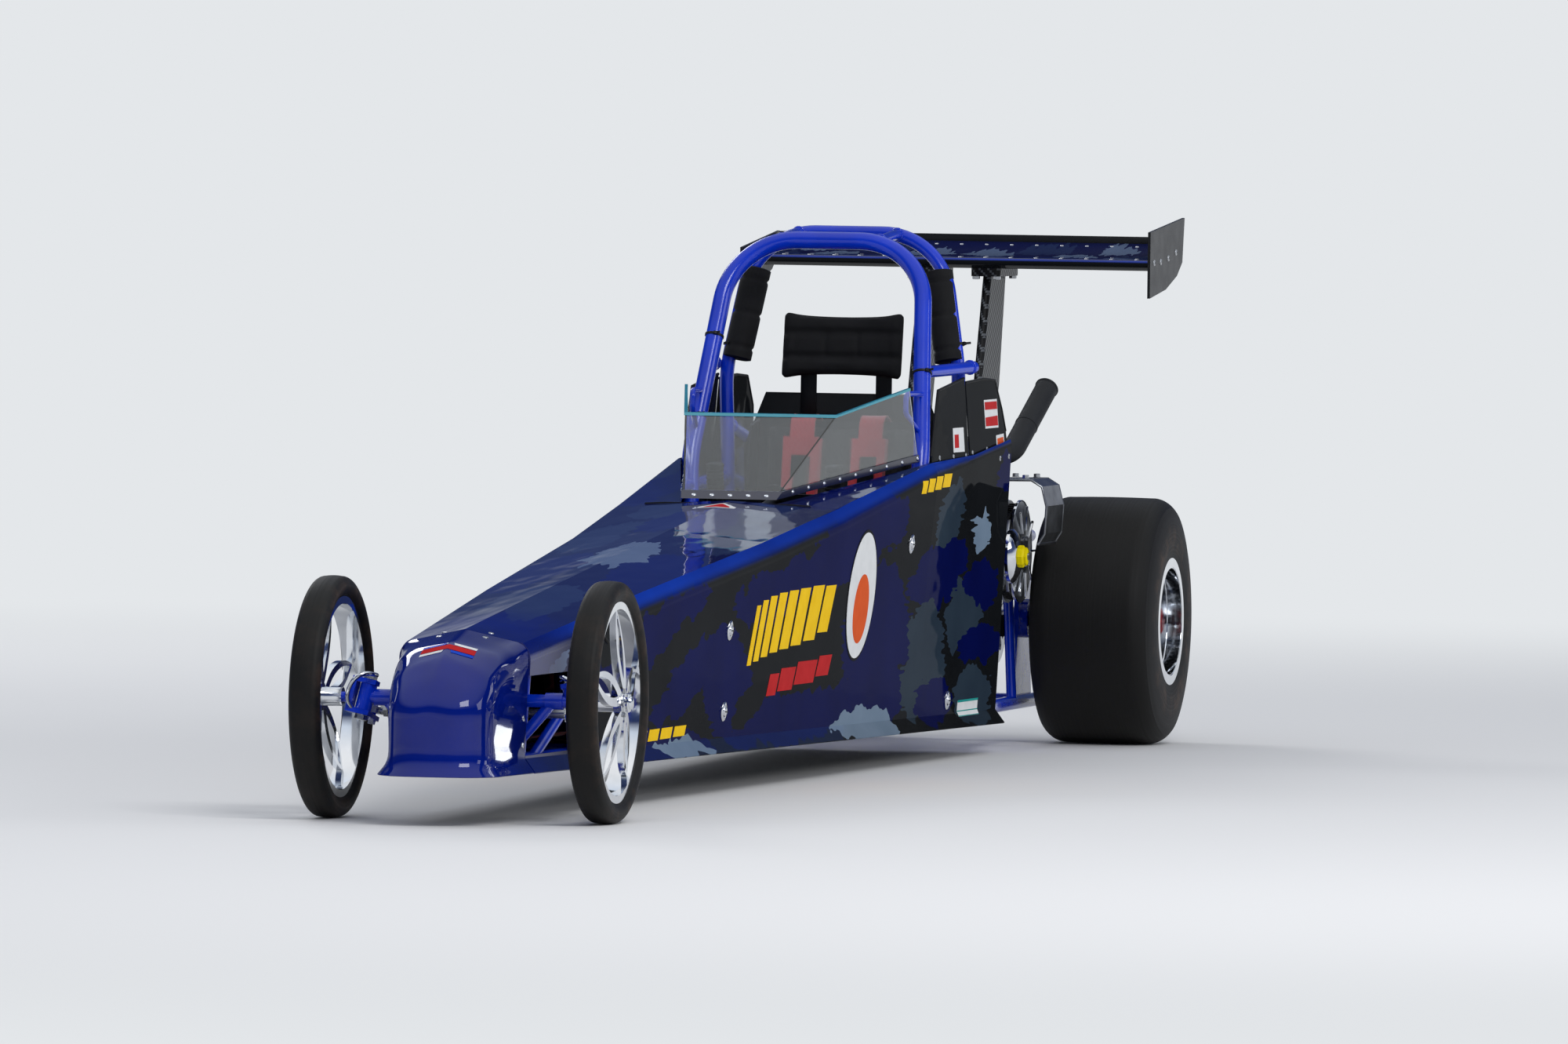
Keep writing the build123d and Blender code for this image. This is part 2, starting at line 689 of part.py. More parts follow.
# Foot pedals on a cross pivot
PEDAL_STATION = 2200.0
pedal_pivot = low_rail(PEDAL_STATION)
with BuildPart() as pedals:
    add(tube([pedal_pivot, (pedal_pivot[0], -pedal_pivot[1], pedal_pivot[2])], 7.0))
    for y in (62.0, -62.0):
        pedal_top = (pedal_pivot[0], y, pedal_pivot[2])
        with BuildSketch(Plane(origin=pedal_top, x_dir=(0, 1, 0), z_dir=(-1, 0, 0.25))):
            with Locations((0, -62)):
                Rectangle(14.0, 124.0)
            with Locations((0, -122)):
                RectangleRounded(62.0, 74.0, 10.0)
        extrude(amount=6.0)
    add(main_rails.part, mode=Mode.SUBTRACT)
save(pedals, "pedals")

# Yoke, steering arm and tie pin, measured from the kingpin; the rack lies level with the pins
YOKE_T = 8.0
YOKE_W = 28.0
YOKE_REACH = 27.0
YOKE_BACK = 14.0
STUB_R = 8.5
STUB_END = FRONT_WHEEL_Y + 22.0
ARM_TIP_Y = 187.0
TIE_PIN_R = 4.0
yoke_x = Vector(0, 1, 0) - kingpin_dir * kingpin_dir.Y
yoke_plane = Plane(origin=kingpin_at, x_dir=yoke_x, z_dir=yoke_x.cross(kingpin_dir))
yoke_half = HOUSING_HALF + RUNNING_GAP + YOKE_T
arm_root = kingpin_at - kingpin_dir * (yoke_half - YOKE_T / 2)
RACK_STATION = WHEELBASE - 82.0
arm_tip = Vector(at(RACK_STATION) - 1.0, ARM_TIP_Y, 0)
arm_drop = (arm_tip - arm_root).dot(kingpin_dir)
arm_tip = Vector(arm_tip.X, arm_tip.Y, arm_tip.Z - arm_drop / kingpin_dir.Z)
arm_plane = Plane(origin=arm_root, x_dir=arm_tip - arm_root, z_dir=kingpin_dir)
arm_length = (arm_tip - arm_root).length
EYE_LIFT = 15.0
RACK_Z = arm_tip.Z + EYE_LIFT * kingpin_dir.Z

# Steering: butterfly wheel on a long shaft, running forward to the rack housing
WHEEL_STATION = 1385.0
WHEEL_Z = 478.0
SHAFT_FRONT_STATION = RACK_STATION - 30.0
SHAFT_FRONT_Z = RACK_Z + 30.0
SHAFT_R = 9.5
GRIP_Y = 108.0
shaft_start = Vector(*place(WHEEL_STATION, 0, WHEEL_Z))
shaft_end = Vector(*place(SHAFT_FRONT_STATION, 0, SHAFT_FRONT_Z))
shaft_dir = (shaft_end - shaft_start).normalized()
wheel_plane = Plane(origin=shaft_start, x_dir=(0, 1, 0), z_dir=-1 * shaft_dir)
shaft_length = (shaft_end - shaft_start).length
with BuildPart() as steering_wheel:
    with BuildSketch(wheel_plane):
        Circle(SHAFT_R)
    extrude(amount=-shaft_length)
    with BuildSketch(wheel_plane):
        Circle(28.0)
        Rectangle(2 * GRIP_Y, 26.0)
        for side in (1, -1):
            with Locations((side * GRIP_Y, 0)):
                Rectangle(12.0, 110.0)
    extrude(amount=5.0)
    for side in (1, -1):
        with BuildSketch(Plane(origin=wheel_plane.from_local_coords((side * GRIP_Y, -62.0, 2.5)),
                               x_dir=wheel_plane.x_dir, z_dir=wheel_plane.y_dir)):
            Circle(13.0)
        extrude(amount=124.0)
    with BuildSketch(wheel_plane.offset(5.0)):
        Circle(20.0)
    extrude(amount=12.0)
save(steering_wheel, "steering_wheel")

SUPPORT_STATIONS = (2600.0, 3200.0)
with BuildPart() as column_supports:
    for station in SUPPORT_STATIONS:
        along = (station - WHEEL_STATION) / (SHAFT_FRONT_STATION - WHEEL_STATION)
        spot = shaft_start + (shaft_end - shaft_start) * along
        high = on_line(upper_points, station)[2]
        with BuildSketch(Plane.YZ.offset(spot.X - 12.0)):
            with Locations((0, spot.Z)):
                Circle(18.0)
            with Locations((0, (spot.Z + high) / 2)):
                Rectangle(20.0, high - spot.Z)
        extrude(amount=24.0)
        with BuildSketch(Plane(origin=spot, z_dir=shaft_dir)):
            Circle(SHAFT_R + RUNNING_GAP)
        extrude(amount=60.0, both=True, mode=Mode.SUBTRACT)
    with BuildSketch(Plane.XZ.offset(-45.0)):
        with Locations((at(RACK_STATION), RACK_Z)):
            Circle(19.0)
            Rectangle(38.0, RACK_Z - low_rail(RACK_STATION)[2], align=(Align.CENTER, Align.MAX))
    extrude(amount=90.0)
    add(cross_tubes.part, mode=Mode.SUBTRACT)
    with BuildSketch(Plane.XZ.offset(-60.0)):
        with Locations((at(RACK_STATION), RACK_Z)):
            Circle(8.0 + RUNNING_GAP)
    extrude(amount=120.0, mode=Mode.SUBTRACT)
save(column_supports, "column_supports")

# Knuckles: a C-shaped yoke over the kingpin housing, with a stub axle and a steering arm
with BuildPart() as knuckle_left:
    with BuildSketch(yoke_plane):
        with Locations(((YOKE_REACH - YOKE_BACK) / 2, 0)):
            Rectangle(YOKE_REACH + YOKE_BACK, 2 * yoke_half)
        with Locations(((YOKE_REACH - YOKE_T - YOKE_BACK - 20.0) / 2, 0)):
            Rectangle(YOKE_REACH - YOKE_T + YOKE_BACK + 20.0, 2 * (yoke_half - YOKE_T), mode=Mode.SUBTRACT)
    extrude(amount=YOKE_W / 2, both=True)
    with BuildSketch(kingpin_plane):
        Circle(KINGPIN_R)
    extrude(amount=yoke_half + 5.0, both=True)
    with BuildSketch(Plane.XZ.offset(-(KINGPIN_Y + YOKE_REACH - 6.0))):
        with Locations((at(WHEELBASE), AXLE_Z)):
            Circle(STUB_R)
    extrude(amount=-(STUB_END - KINGPIN_Y - YOKE_REACH + 6.0))
    with BuildSketch(arm_plane):
        with Locations((arm_length / 2, 0)):
            SlotCenterToCenter(arm_length, 22.0)
    extrude(amount=YOKE_T / 2, both=True)
    with BuildSketch(Plane(origin=arm_tip, z_dir=kingpin_dir)):
        Circle(TIE_PIN_R)
    extrude(amount=26.0)
save(knuckle_left, "knuckle_left")

with BuildPart() as knuckle_right:
    mirror(knuckle_left.part, about=Plane.XZ)
save(knuckle_right, "knuckle_right")

# Rack bar and tie rods as one cross bar, with an eye round each tie pin
RACK_R = 8.0
RACK_HALF = ARM_TIP_Y - 15.0
EYE_R = 15.8
EYE_GAP = 5.0
with BuildPart() as tie_rod:
    with BuildSketch(Plane.XZ.offset(-RACK_HALF)):
        with Locations((at(RACK_STATION), RACK_Z)):
            Circle(RACK_R)
    extrude(amount=2 * RACK_HALF)
    for side in (1, -1):
        eye_lean = Vector(kingpin_dir.X, side * kingpin_dir.Y, 0) * EYE_LIFT
        eye_at = Vector(arm_tip.X + 1.0, side * arm_tip.Y, RACK_Z) + eye_lean
        eye_dir = Vector(kingpin_dir.X, side * kingpin_dir.Y, kingpin_dir.Z)
        with BuildSketch(Plane(origin=eye_at, z_dir=eye_dir)):
            Circle(EYE_R)
        extrude(amount=5.5, both=True)
        with BuildSketch(Plane(origin=eye_at, z_dir=eye_dir)):
            Circle(TIE_PIN_R + EYE_GAP)
        extrude(amount=20.0, both=True, mode=Mode.SUBTRACT)
save(tie_rod, "tie_rod")

# Front wheels: (radius, distance outboard of the wheel's middle)
FRONT_RIM = (
    (156.0, -19.0), (168.5, -19.0), (168.5, -16.0), (162.0, -14.0),
    (162.0, 14.0), (168.5, 16.0), (168.5, 19.0), (156.0, 19.0),
)
FRONT_WEB = ((12.0, 16.0), (12.0, 30.0), (60.0, 25.0), (157.0, 13.0), (157.0, 3.0), (60.0, 13.0))
# Tyre profiles: bead seat and lip edge, then wall, shoulder and tread arcs, as (radius, half width)
FRONT_TYRE = (
    (162.3, 13.5), (169.0, 15.7), (169.2, 19.0), (184.0, 27.0), (195.0, 24.0), (200.0, 19.6), (201.9, 13.0),
)
SPOKES = 5
PETAL = (8.0, 158.0, 26.0)
PETAL_EYE = (40.0, 147.0, 13.5)
front_centre = place(WHEELBASE, FRONT_WHEEL_Y, FRONT_TYRE_R)


def tyre(points, crown, centre):
    """Tyre turned about Y from a half profile, closed by a gently crowned tread."""
    seat, shoulder_high = points[0], points[-1]
    with BuildPart(mode=Mode.PRIVATE) as piece:
        with BuildSketch(Plane(origin=centre, x_dir=(0, 0, 1), z_dir=(-1, 0, 0))):
            with BuildLine():
                for side in (1, -1):
                    wall_line = [(radius, side * half) for radius, half in points]
                    Polyline(*wall_line[:3])
                    ThreePointArc(*wall_line[2:5])
                    ThreePointArc(*wall_line[4:7])
                ThreePointArc(shoulder_high, (crown, 0.0), (shoulder_high[0], -shoulder_high[1]))
                Line(seat, (seat[0], -seat[1]))
            make_face()
        revolve(axis=Axis(centre, (0, 1, 0)))
    return piece.part


def petal(near, far, half_width):
    """Pointed oval from one radius to another, along the sketch's X axis."""
    middle = (near + far) / 2
    with BuildSketch(mode=Mode.PRIVATE) as oval:
        with BuildLine():
            ThreePointArc((near, 0), (middle, half_width), (far, 0))
            ThreePointArc((far, 0), (middle, -half_width), (near, 0))
        make_face()
    return oval.sketch


with BuildPart() as front_wheel_left:
    with BuildPart(mode=Mode.PRIVATE) as spokes:
        with BuildSketch(Plane(origin=(front_centre[0], 0, AXLE_Z), x_dir=(0, 0, 1), z_dir=(0, 1, 0))):
            with PolarLocations(0, SPOKES):
                add(petal(*PETAL))
            with PolarLocations(0, SPOKES):
                add(petal(*PETAL_EYE), mode=Mode.SUBTRACT)
            Circle(24.0)
        extrude(amount=400.0)
        add(turned(FRONT_WEB, front_centre), mode=Mode.INTERSECT)
    add(spokes.part)
    add(turned(FRONT_RIM, front_centre))
    add(drum(16.0, -20.0, 33.0, front_centre))
    add(drum(STUB_R + RUNNING_GAP, -40.0, 24.5, front_centre), mode=Mode.SUBTRACT)
save(front_wheel_left, "front_wheel_left")

with BuildPart() as front_wheel_right:
    mirror(front_wheel_left.part, about=Plane.XZ)
save(front_wheel_right, "front_wheel_right")

with BuildPart() as front_tyre_left:
    add(tyre(FRONT_TYRE, FRONT_TYRE_R, front_centre))
save(front_tyre_left, "front_tyre_left")

with BuildPart() as front_tyre_right:
    mirror(front_tyre_left.part, about=Plane.XZ)
save(front_tyre_right, "front_tyre_right")

# Rear wheels and axle
REAR_RIM = (
    (101.0, -115.0), (118.0, -115.0), (118.0, -110.0), (108.0, -104.0),
    (108.0, 104.0), (118.0, 110.0), (118.0, 115.0), (101.0, 115.0),
)
REAR_WEB = ((16.0, 22.0), (16.0, 40.0), (34.0, 40.0), (46.0, 30.0), (102.0, 30.0), (102.0, 22.0))
REAR_TYRE = (
    (108.4, 103.0), (118.4, 109.0), (118.6, 115.4), (165.0, 118.0), (210.0, 110.0), (223.0, 96.0),
    (228.0, 74.0),
)
rear_centre = place(0.0, REAR_WHEEL_Y, REAR_TYRE_R)
AXLE_SHAFT_R = 16.0
DISC_Y = 112.0
DISC_R = 86.0
SPROCKET_Y = -112.0
SPROCKET_R = 88.0

with BuildPart() as rear_wheels:
    add(turned(REAR_RIM, rear_centre))
    add(turned(REAR_WEB, rear_centre))
    with BuildSketch(Plane(origin=rear_centre, x_dir=(0, 0, 1), z_dir=(0, 1, 0))):
        with PolarLocations(72.0, 5):
            Circle(17.0)
    extrude(amount=60.0, mode=Mode.SUBTRACT)
    mirror(about=Plane.XZ)
save(rear_wheels, "rear_wheels")

with BuildPart() as rear_tyres:
    add(tyre(REAR_TYRE, REAR_TYRE_R, rear_centre))
    mirror(about=Plane.XZ)
save(rear_tyres, "rear_tyres")

axle_middle = place(0.0, 0.0, REAR_TYRE_R)
HUB_Y = REAR_WHEEL_Y + 22.0
with BuildPart() as rear_axle:
    add(drum(AXLE_SHAFT_R, -HUB_Y - 20, HUB_Y + 20, axle_middle))
    for side in (1, -1):
        hub = ((0, side * (HUB_Y - 90)), (28, side * (HUB_Y - 90)), (28, side * (HUB_Y - 12)),
               (44, side * (HUB_Y - 12)), (44, side * HUB_Y), (0, side * HUB_Y))
        add(turned(hub, axle_middle))
    for y in (DISC_Y, SPROCKET_Y):
        add(drum(26, y - 14, y + 14, axle_middle))
save(rear_axle, "rear_axle")


def plate_wheel(radius, y, thickness, holes):
    """Disc on the rear axle with a ring of round holes."""
    with BuildPart(mode=Mode.PRIVATE) as disc:
        near_face = place(0.0, y - thickness / 2, REAR_TYRE_R)
        with BuildSketch(Plane(origin=near_face, x_dir=(0, 0, 1), z_dir=(0, 1, 0))):
            Circle(radius)
            Circle(26.0, mode=Mode.SUBTRACT)
            with PolarLocations(0.68 * radius, holes):
                Circle(0.13 * radius, mode=Mode.SUBTRACT)
        extrude(amount=thickness)
    return disc.part


with BuildPart() as brake_disc:
    add(plate_wheel(DISC_R, DISC_Y, 5.0, 12))
save(brake_disc, "brake_disc")

with BuildPart() as axle_sprocket:
    add(plate_wheel(SPROCKET_R, SPROCKET_Y, 6.0, 6))
save(axle_sprocket, "axle_sprocket")

# Axle carriers: a plate each side between the lower and upper rails, with a bearing housing
CARRIER_Y = 158.0
CARRIER_T = 8.0
carrier_top = on_line(upper_points, 0.0)[2]
with BuildPart() as axle_carriers:
    with BuildSketch(Plane.XZ.offset(-CARRIER_Y)):
        with BuildLine():
            Polyline(
                (at(-70.0), REAR_RAIL_Z),
                (at(80.0), REAR_RAIL_Z),
                (at(52.0), REAR_TYRE_R),
                (at(60.0), carrier_top),
                (at(-60.0), carrier_top),
                (at(-52.0), REAR_TYRE_R),
                close=True,
            )
        make_face()
    extrude(amount=-CARRIER_T)
    add(drum(36, CARRIER_Y - 6, CARRIER_Y + 20, axle_middle))
    add(drum(AXLE_SHAFT_R + RUNNING_GAP, 100, 200, axle_middle), mode=Mode.SUBTRACT)
    mirror(about=Plane.XZ)
    for cutter in (main_rails.part, lower_rail, right_lower_rail, frame_braces.part, cage_bars.part):
        add(cutter, mode=Mode.SUBTRACT)
save(axle_carriers, "axle_carriers")

CALIPER_STATION = 96.0
with BuildPart() as brake_caliper:
    with BuildSketch(Plane.XZ.offset(-DISC_Y)):
        with Locations((at(CALIPER_STATION), REAR_TYRE_R - 10.0)):
            RectangleRounded(64.0, 74.0, 10.0)
    extrude(amount=24.0, both=True)
    add(drum(DISC_R + 5.0, DISC_Y - 3.2, DISC_Y + 3.2, axle_middle), mode=Mode.SUBTRACT)
    with BuildSketch(Plane.XZ.offset(-(DISC_Y + 24.0))):
        with Locations((at(120.0), REAR_TYRE_R - 10.0)):
            Rectangle(16.0, 40.0)
    extrude(amount=-(on_line(upper_points, 120.0)[1] - DISC_Y - 24.0))
    add(frame_braces.part, mode=Mode.SUBTRACT)
save(brake_caliper, "brake_caliper")

# Engine, its mounting plate and the belt drive
CRANK_STATION = 406.0
CRANK_Z = 357.0
JACK_STATION = 222.0
JACK_Z = 360.0
BELT_Y = 206.0
PLATE_Z = 254.0
ENGINE_Y = 10.0
FIN_COUNT = 9
FIN_PITCH = 13.0
with BuildPart() as engine_mount:
    with BuildSketch(Plane.XY.offset(PLATE_Z)):
        with BuildLine():
            Polyline((at(305), -178), (at(515), -196), (at(515), 196), (at(305), 178), close=True)
        make_face()
        with Locations((at(410), 0)):
            RectangleRounded(90, 120, 20, mode=Mode.SUBTRACT)
    extrude(amount=6.0)
    for station in (350.0, 490.0):
        x, y, z = on_line(lower_points, station)
        for side in (1, -1):
            add(tube([(x, side * y, z + 8.0), (x, side * (y + 2.0), PLATE_Z + 2.0)], BRACE_R))
    for cutter in (lower_rail, right_lower_rail, frame_braces.part, cross_tubes.part):
        add(cutter, mode=Mode.SUBTRACT)
save(engine_mount, "engine_mount")

with BuildPart() as engine:
    with BuildSketch(Plane.XZ.offset(-130.0)):
        with Locations((at(CRANK_STATION), (PLATE_Z + 6.0 + 432.0) / 2)):
            RectangleRounded(176.0, 432.0 - PLATE_Z - 6.0, 26.0)
    extrude(amount=210.0)
    with BuildSketch(Plane.XY.offset(425.0)):
        with Locations((at(CRANK_STATION), ENGINE_Y)):
            Circle(42.0)
    extrude(amount=30.0 + FIN_COUNT * FIN_PITCH)
    for index in range(FIN_COUNT):
        with BuildSketch(Plane.XY.offset(446.0 + index * FIN_PITCH)):
            with Locations((at(CRANK_STATION), ENGINE_Y)):
                RectangleRounded(130.0, 116.0, 16.0)
        extrude(amount=4.0)
    with BuildSketch(Plane.XZ.offset(-130.0)):
        with Locations((at(CRANK_STATION), CRANK_Z)):
            Circle(30.0)
    extrude(amount=-12.0)
    with BuildSketch(Plane.XZ.offset(80.0)):
        with Locations((at(CRANK_STATION), CRANK_Z)):
            Circle(82.0)
    extrude(amount=46.0)
save(engine, "engine")


def sheaves(station, z, radius, near, far, hub_r, start):
    """Two coned belt sheaves on a hub, from start outwards, either side of the belt."""
    centre = place(station, 0.0, z)
    with BuildPart(mode=Mode.PRIVATE) as pulley:
        add(drum(hub_r, start, far + 8, centre))
        for face, side in ((near, -1), (far, 1)):
            rim, back = face + side * 4, face + side * 10
            add(turned(((0, face), (radius, face), (radius, rim), (0.4 * radius, back), (0, back)), centre))
    return pulley.part


BELT_HALF = 9.0
BELT_NEAR = BELT_Y - 14.0 - BELT_HALF
with BuildPart() as drive_clutch:
    add(sheaves(CRANK_STATION, CRANK_Z, 71.0, BELT_NEAR, BELT_NEAR + 2 * BELT_HALF, 16.0, 142.0))
    centre = place(CRANK_STATION, 0.0, CRANK_Z)
    out = BELT_NEAR + 2 * BELT_HALF + 10.0
    add(turned(((0, out), (44, out), (44, out + 14), (36, out + 22), (0, out + 22)), centre))
    add(drum(17, out + 22, out + 38, centre))
    add(drum(7, out + 38, out + 50, centre))
save(drive_clutch, "drive_clutch")

with BuildPart() as driven_clutch:
    add(sheaves(JACK_STATION, JACK_Z, 95.0, BELT_NEAR, BELT_NEAR + 2 * BELT_HALF, 22.0, BELT_NEAR - 30.0))
    jack_centre = place(JACK_STATION, 0.0, JACK_Z)
    add(drum(12.5, -136, BELT_NEAR, jack_centre))
    add(drum(26, SPROCKET_Y - 3, SPROCKET_Y + 3, jack_centre))
save(driven_clutch, "driven_clutch")


def loop_band(first, second, y, width, thickness):
    """Endless band round two (station, z, radius) circles, centred on a plane of constant y."""
    with BuildPart(mode=Mode.PRIVATE) as band:
        for grow, mode in ((thickness, Mode.ADD), (0.0, Mode.SUBTRACT)):
            with BuildSketch(Plane.XZ.offset(-y)):
                with BuildSketch(mode=Mode.PRIVATE) as ends:
                    for station, z, radius in (first, second):
                        with Locations((at(station), z)):
                            Circle(radius + grow)
                make_hull(ends.sketch.edges())
            extrude(amount=width / 2, both=True, mode=mode)
    return band.part


with BuildPart() as drive_belt:
    belt_first = (CRANK_STATION, CRANK_Z, 40.0)
    belt_second = (JACK_STATION, JACK_Z, 76.0)
    add(loop_band(belt_first, belt_second, BELT_NEAR + BELT_HALF, 2 * BELT_HALF, 11.0))
save(drive_belt, "drive_belt")

with BuildPart() as drive_chain:
    chain_first = (JACK_STATION, JACK_Z, 27.0)
    chain_second = (0.0, REAR_TYRE_R, SPROCKET_R + 1.0)
    add(loop_band(chain_first, chain_second, SPROCKET_Y, 9.0, 10.0))
save(drive_chain, "drive_chain")

with BuildPart() as bearing_blocks:
    for y in (136.0, -150.0):
        with BuildSketch(Plane.XZ.offset(-y)):
            with Locations((at(JACK_STATION), JACK_Z + 8.0)):
                RectangleRounded(62.0, 76.0, 12.0)
        extrude(amount=-22.0)
    add(drum(12.8, -300, 300, jack_centre), mode=Mode.SUBTRACT)
    add(main_rails.part, mode=Mode.SUBTRACT)
    add(frame_braces.part, mode=Mode.SUBTRACT)
    add(cage_bars.part, mode=Mode.SUBTRACT)
    add(driven_clutch.part, mode=Mode.SUBTRACT)
save(bearing_blocks, "bearing_blocks")

# Belt guard: a curled sheet over the belt, open to the front
with BuildPart() as belt_guard:
    guard_line = [(172.0, 446.0), (172.0, 484.0), (184.0, 497.0), (262.0, 498.0), (282.0, 486.0)]
    guard_line += [(291.0, 450.0), (288.0, 400.0), (276.0, 380.0)]
    guard_inner = inset(guard_line, -SKIN)
    with BuildSketch(Plane.YZ.offset(at(250.0))):
        with BuildLine():
            Polyline(*guard_line, *reversed(guard_inner), close=True)
        make_face()
    extrude(amount=150.0)
    with BuildSketch(Plane.XZ.offset(-155.0)):
        with Locations((at(325.0), 445.0)):
            Rectangle(60.0, 46.0)
    extrude(amount=-17.0)
    add(main_rails.part, mode=Mode.SUBTRACT)
    add(cage_bars.part, mode=Mode.SUBTRACT)
save(belt_guard, "belt_guard")

# Exhaust: one open pipe from the head, out to the left and back
EXHAUST_R = 21.0
exhaust_line = [
    place(CRANK_STATION, ENGINE_Y + 50.0, 530.0),
    place(392.0, 160.0, 534.0),
    place(330.0, 210.0, 548.0),
    place(176.0, 241.0, 664.0),
]
with BuildPart() as exhaust_pipe:
    add(tube(exhaust_line, EXHAUST_R, [60.0, 55.0]))
    with BuildPart(mode=Mode.PRIVATE) as bore_form:
        add(tube(exhaust_line[2:], EXHAUST_R - 2.0))
    add(bore_form.part, mode=Mode.SUBTRACT)
    add(engine.part, mode=Mode.SUBTRACT)
save(exhaust_pipe, "exhaust_pipe")

# Rear wing on two bladed struts
WING_HALF = 386.0
WING_LE = (-26.0, 891.0)
WING_TE = (-320.0, 925.0)
STRUT_Y = 62.0
STRUT_T = 16.0
STRUTS = (
    # z, middle station, chord
    (397.0, -24.0, 168.0),
    (665.0, -121.0, 168.0),
    (866.0, -180.0, 138.0),
)
with BuildPart() as wing:
    with BuildSketch(Plane.XZ.offset(-WING_HALF)):
        with BuildLine():
            le_top = (at(WING_LE[0]) - 6.0, WING_LE[1] + 7.0)
            le_low = (at(WING_LE[0]) - 6.0, WING_LE[1] - 7.0)
            te_top = (at(WING_TE[0]), WING_TE[1])
            te_low = (at(WING_TE[0]), WING_TE[1] - 3.0)
            ThreePointArc(le_low, (at(WING_LE[0]), WING_LE[1]), le_top)
            ThreePointArc(le_top, (at(-170.0), 904.0), te_top)
            Line(te_top, te_low)
            ThreePointArc(te_low, (at(-150.0), 878.0), le_low)
        make_face()
    extrude(amount=2 * WING_HALF)
save(wing, "wing")

# Each end plate, by its two upper corners and the lower edge that both share: station, z
PLATE_LOW = ((-322.0, 891.0), (-273.0, 866.0), (-172.0, 842.0), (-24.0, 827.0))
END_PLATE_LEFT = ((-24.0, 950.0), (-338.0, 974.0), *PLATE_LOW)
END_PLATE_RIGHT = ((-24.0, 910.0), (-334.0, 938.0), *PLATE_LOW)
PLATE_T = 5.0
with BuildPart() as wing_end_plates:
    for outline, y in ((END_PLATE_LEFT, WING_HALF), (END_PLATE_RIGHT, -WING_HALF - PLATE_T)):
        with BuildSketch(Plane.XZ.offset(-y)):
            with BuildLine():
                Polyline(*[(at(station), z) for station, z in outline], close=True)
            make_face()
        extrude(amount=-PLATE_T)
save(wing_end_plates, "wing_end_plates")

with BuildPart() as wing_struts:
    for z, middle, chord in STRUTS:
        with BuildSketch(Plane.XY.offset(z)):
            with Locations((at(middle), STRUT_Y)):
                SlotOverall(chord, STRUT_T)
    loft(ruled=True)
    with BuildSketch(Plane.XY.offset(862.0)):
        with Locations((at(-180.0), STRUT_Y)):
            RectangleRounded(170.0, 56.0, 10.0)
    extrude(amount=34.0)
    add(wing.part, mode=Mode.SUBTRACT)
    mirror(about=Plane.XZ)
    split(bisect_by=Plane.XY.offset(892.0), keep=Keep.BOTTOM)
save(wing_struts, "wing_struts")

MOUNT_T = 10.0
with BuildPart() as wing_mount:
    low_line = [(at(station), on_line(upper_points, station)[2] + BRACE_R) for station in (152.0, -104.0)]
    high_line = [(x, z + MOUNT_T) for x, z in reversed(low_line)]
    with BuildSketch(Plane.XZ.offset(-86.0)):
        with BuildLine():
            Polyline(*low_line, *high_line, close=True)
        make_face()
    extrude(amount=172.0)
    add(wing_struts.part, mode=Mode.SUBTRACT)
    add(cross_tubes.part, mode=Mode.SUBTRACT)
save(wing_mount, "wing_mount")
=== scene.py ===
"""Looks of a half-scale drag racing car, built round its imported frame.

Metres, +X forward, +Y to the car's left, +Z up from the ground. A station is a distance
ahead of the rear axle in millimetres, as on the frame's own drawing.
"""

import logging
import math
from dataclasses import dataclass
from enum import Enum
from typing import Any, Callable, Iterable, Sequence

import bpy
from bpy.types import Material, Node, NodeSocket, NodeTree, Object
from mathutils import Matrix, Vector


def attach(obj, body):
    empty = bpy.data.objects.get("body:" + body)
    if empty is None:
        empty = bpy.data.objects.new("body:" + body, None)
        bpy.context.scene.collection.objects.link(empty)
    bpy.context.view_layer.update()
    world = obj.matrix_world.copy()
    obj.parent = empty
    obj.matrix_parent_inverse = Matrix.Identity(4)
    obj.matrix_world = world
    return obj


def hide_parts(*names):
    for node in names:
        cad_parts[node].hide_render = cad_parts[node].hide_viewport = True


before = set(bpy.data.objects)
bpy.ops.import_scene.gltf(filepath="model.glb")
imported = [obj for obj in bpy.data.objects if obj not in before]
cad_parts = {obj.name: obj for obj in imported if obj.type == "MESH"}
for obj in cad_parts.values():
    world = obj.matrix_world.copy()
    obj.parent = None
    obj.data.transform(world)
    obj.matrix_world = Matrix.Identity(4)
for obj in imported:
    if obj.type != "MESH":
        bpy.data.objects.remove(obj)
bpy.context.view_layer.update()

LOG = logging.getLogger("dragster")
REAR_AXLE_X = -1.8025
MIRROR = Matrix.Diagonal((1, -1, 1, 1))
# distances in millimetres from which rays are cast at the sides, and at the hood and nose
SIDE_REACH = 600
TOP_REACH = 900
Point = tuple[float, float, float]


# Small tools shared by every sub-assembly


def linear(code: str) -> tuple[float, float, float, float]:
    """Turns an sRGB hex colour to linear RGBA.

    Args:
        code: Colour such as "#1A2B3C".

    Returns:
        Linear red, green, blue and an alpha of 1.
    """
    parts = [int(code[start:start + 2], 16) / 255 for start in (1, 3, 5)]
    bright = [part / 12.92 if part <= 0.04045 else ((part + 0.055) / 1.055) ** 2.4 for part in parts]
    return (bright[0], bright[1], bright[2], 1.0)


def place(station: float, y: float, z: float) -> Vector:
    """Turns a station, a distance to the left and a height, all in millimetres, to metres in the frame."""
    return Vector((REAR_AXLE_X + station / 1000, y / 1000, z / 1000))


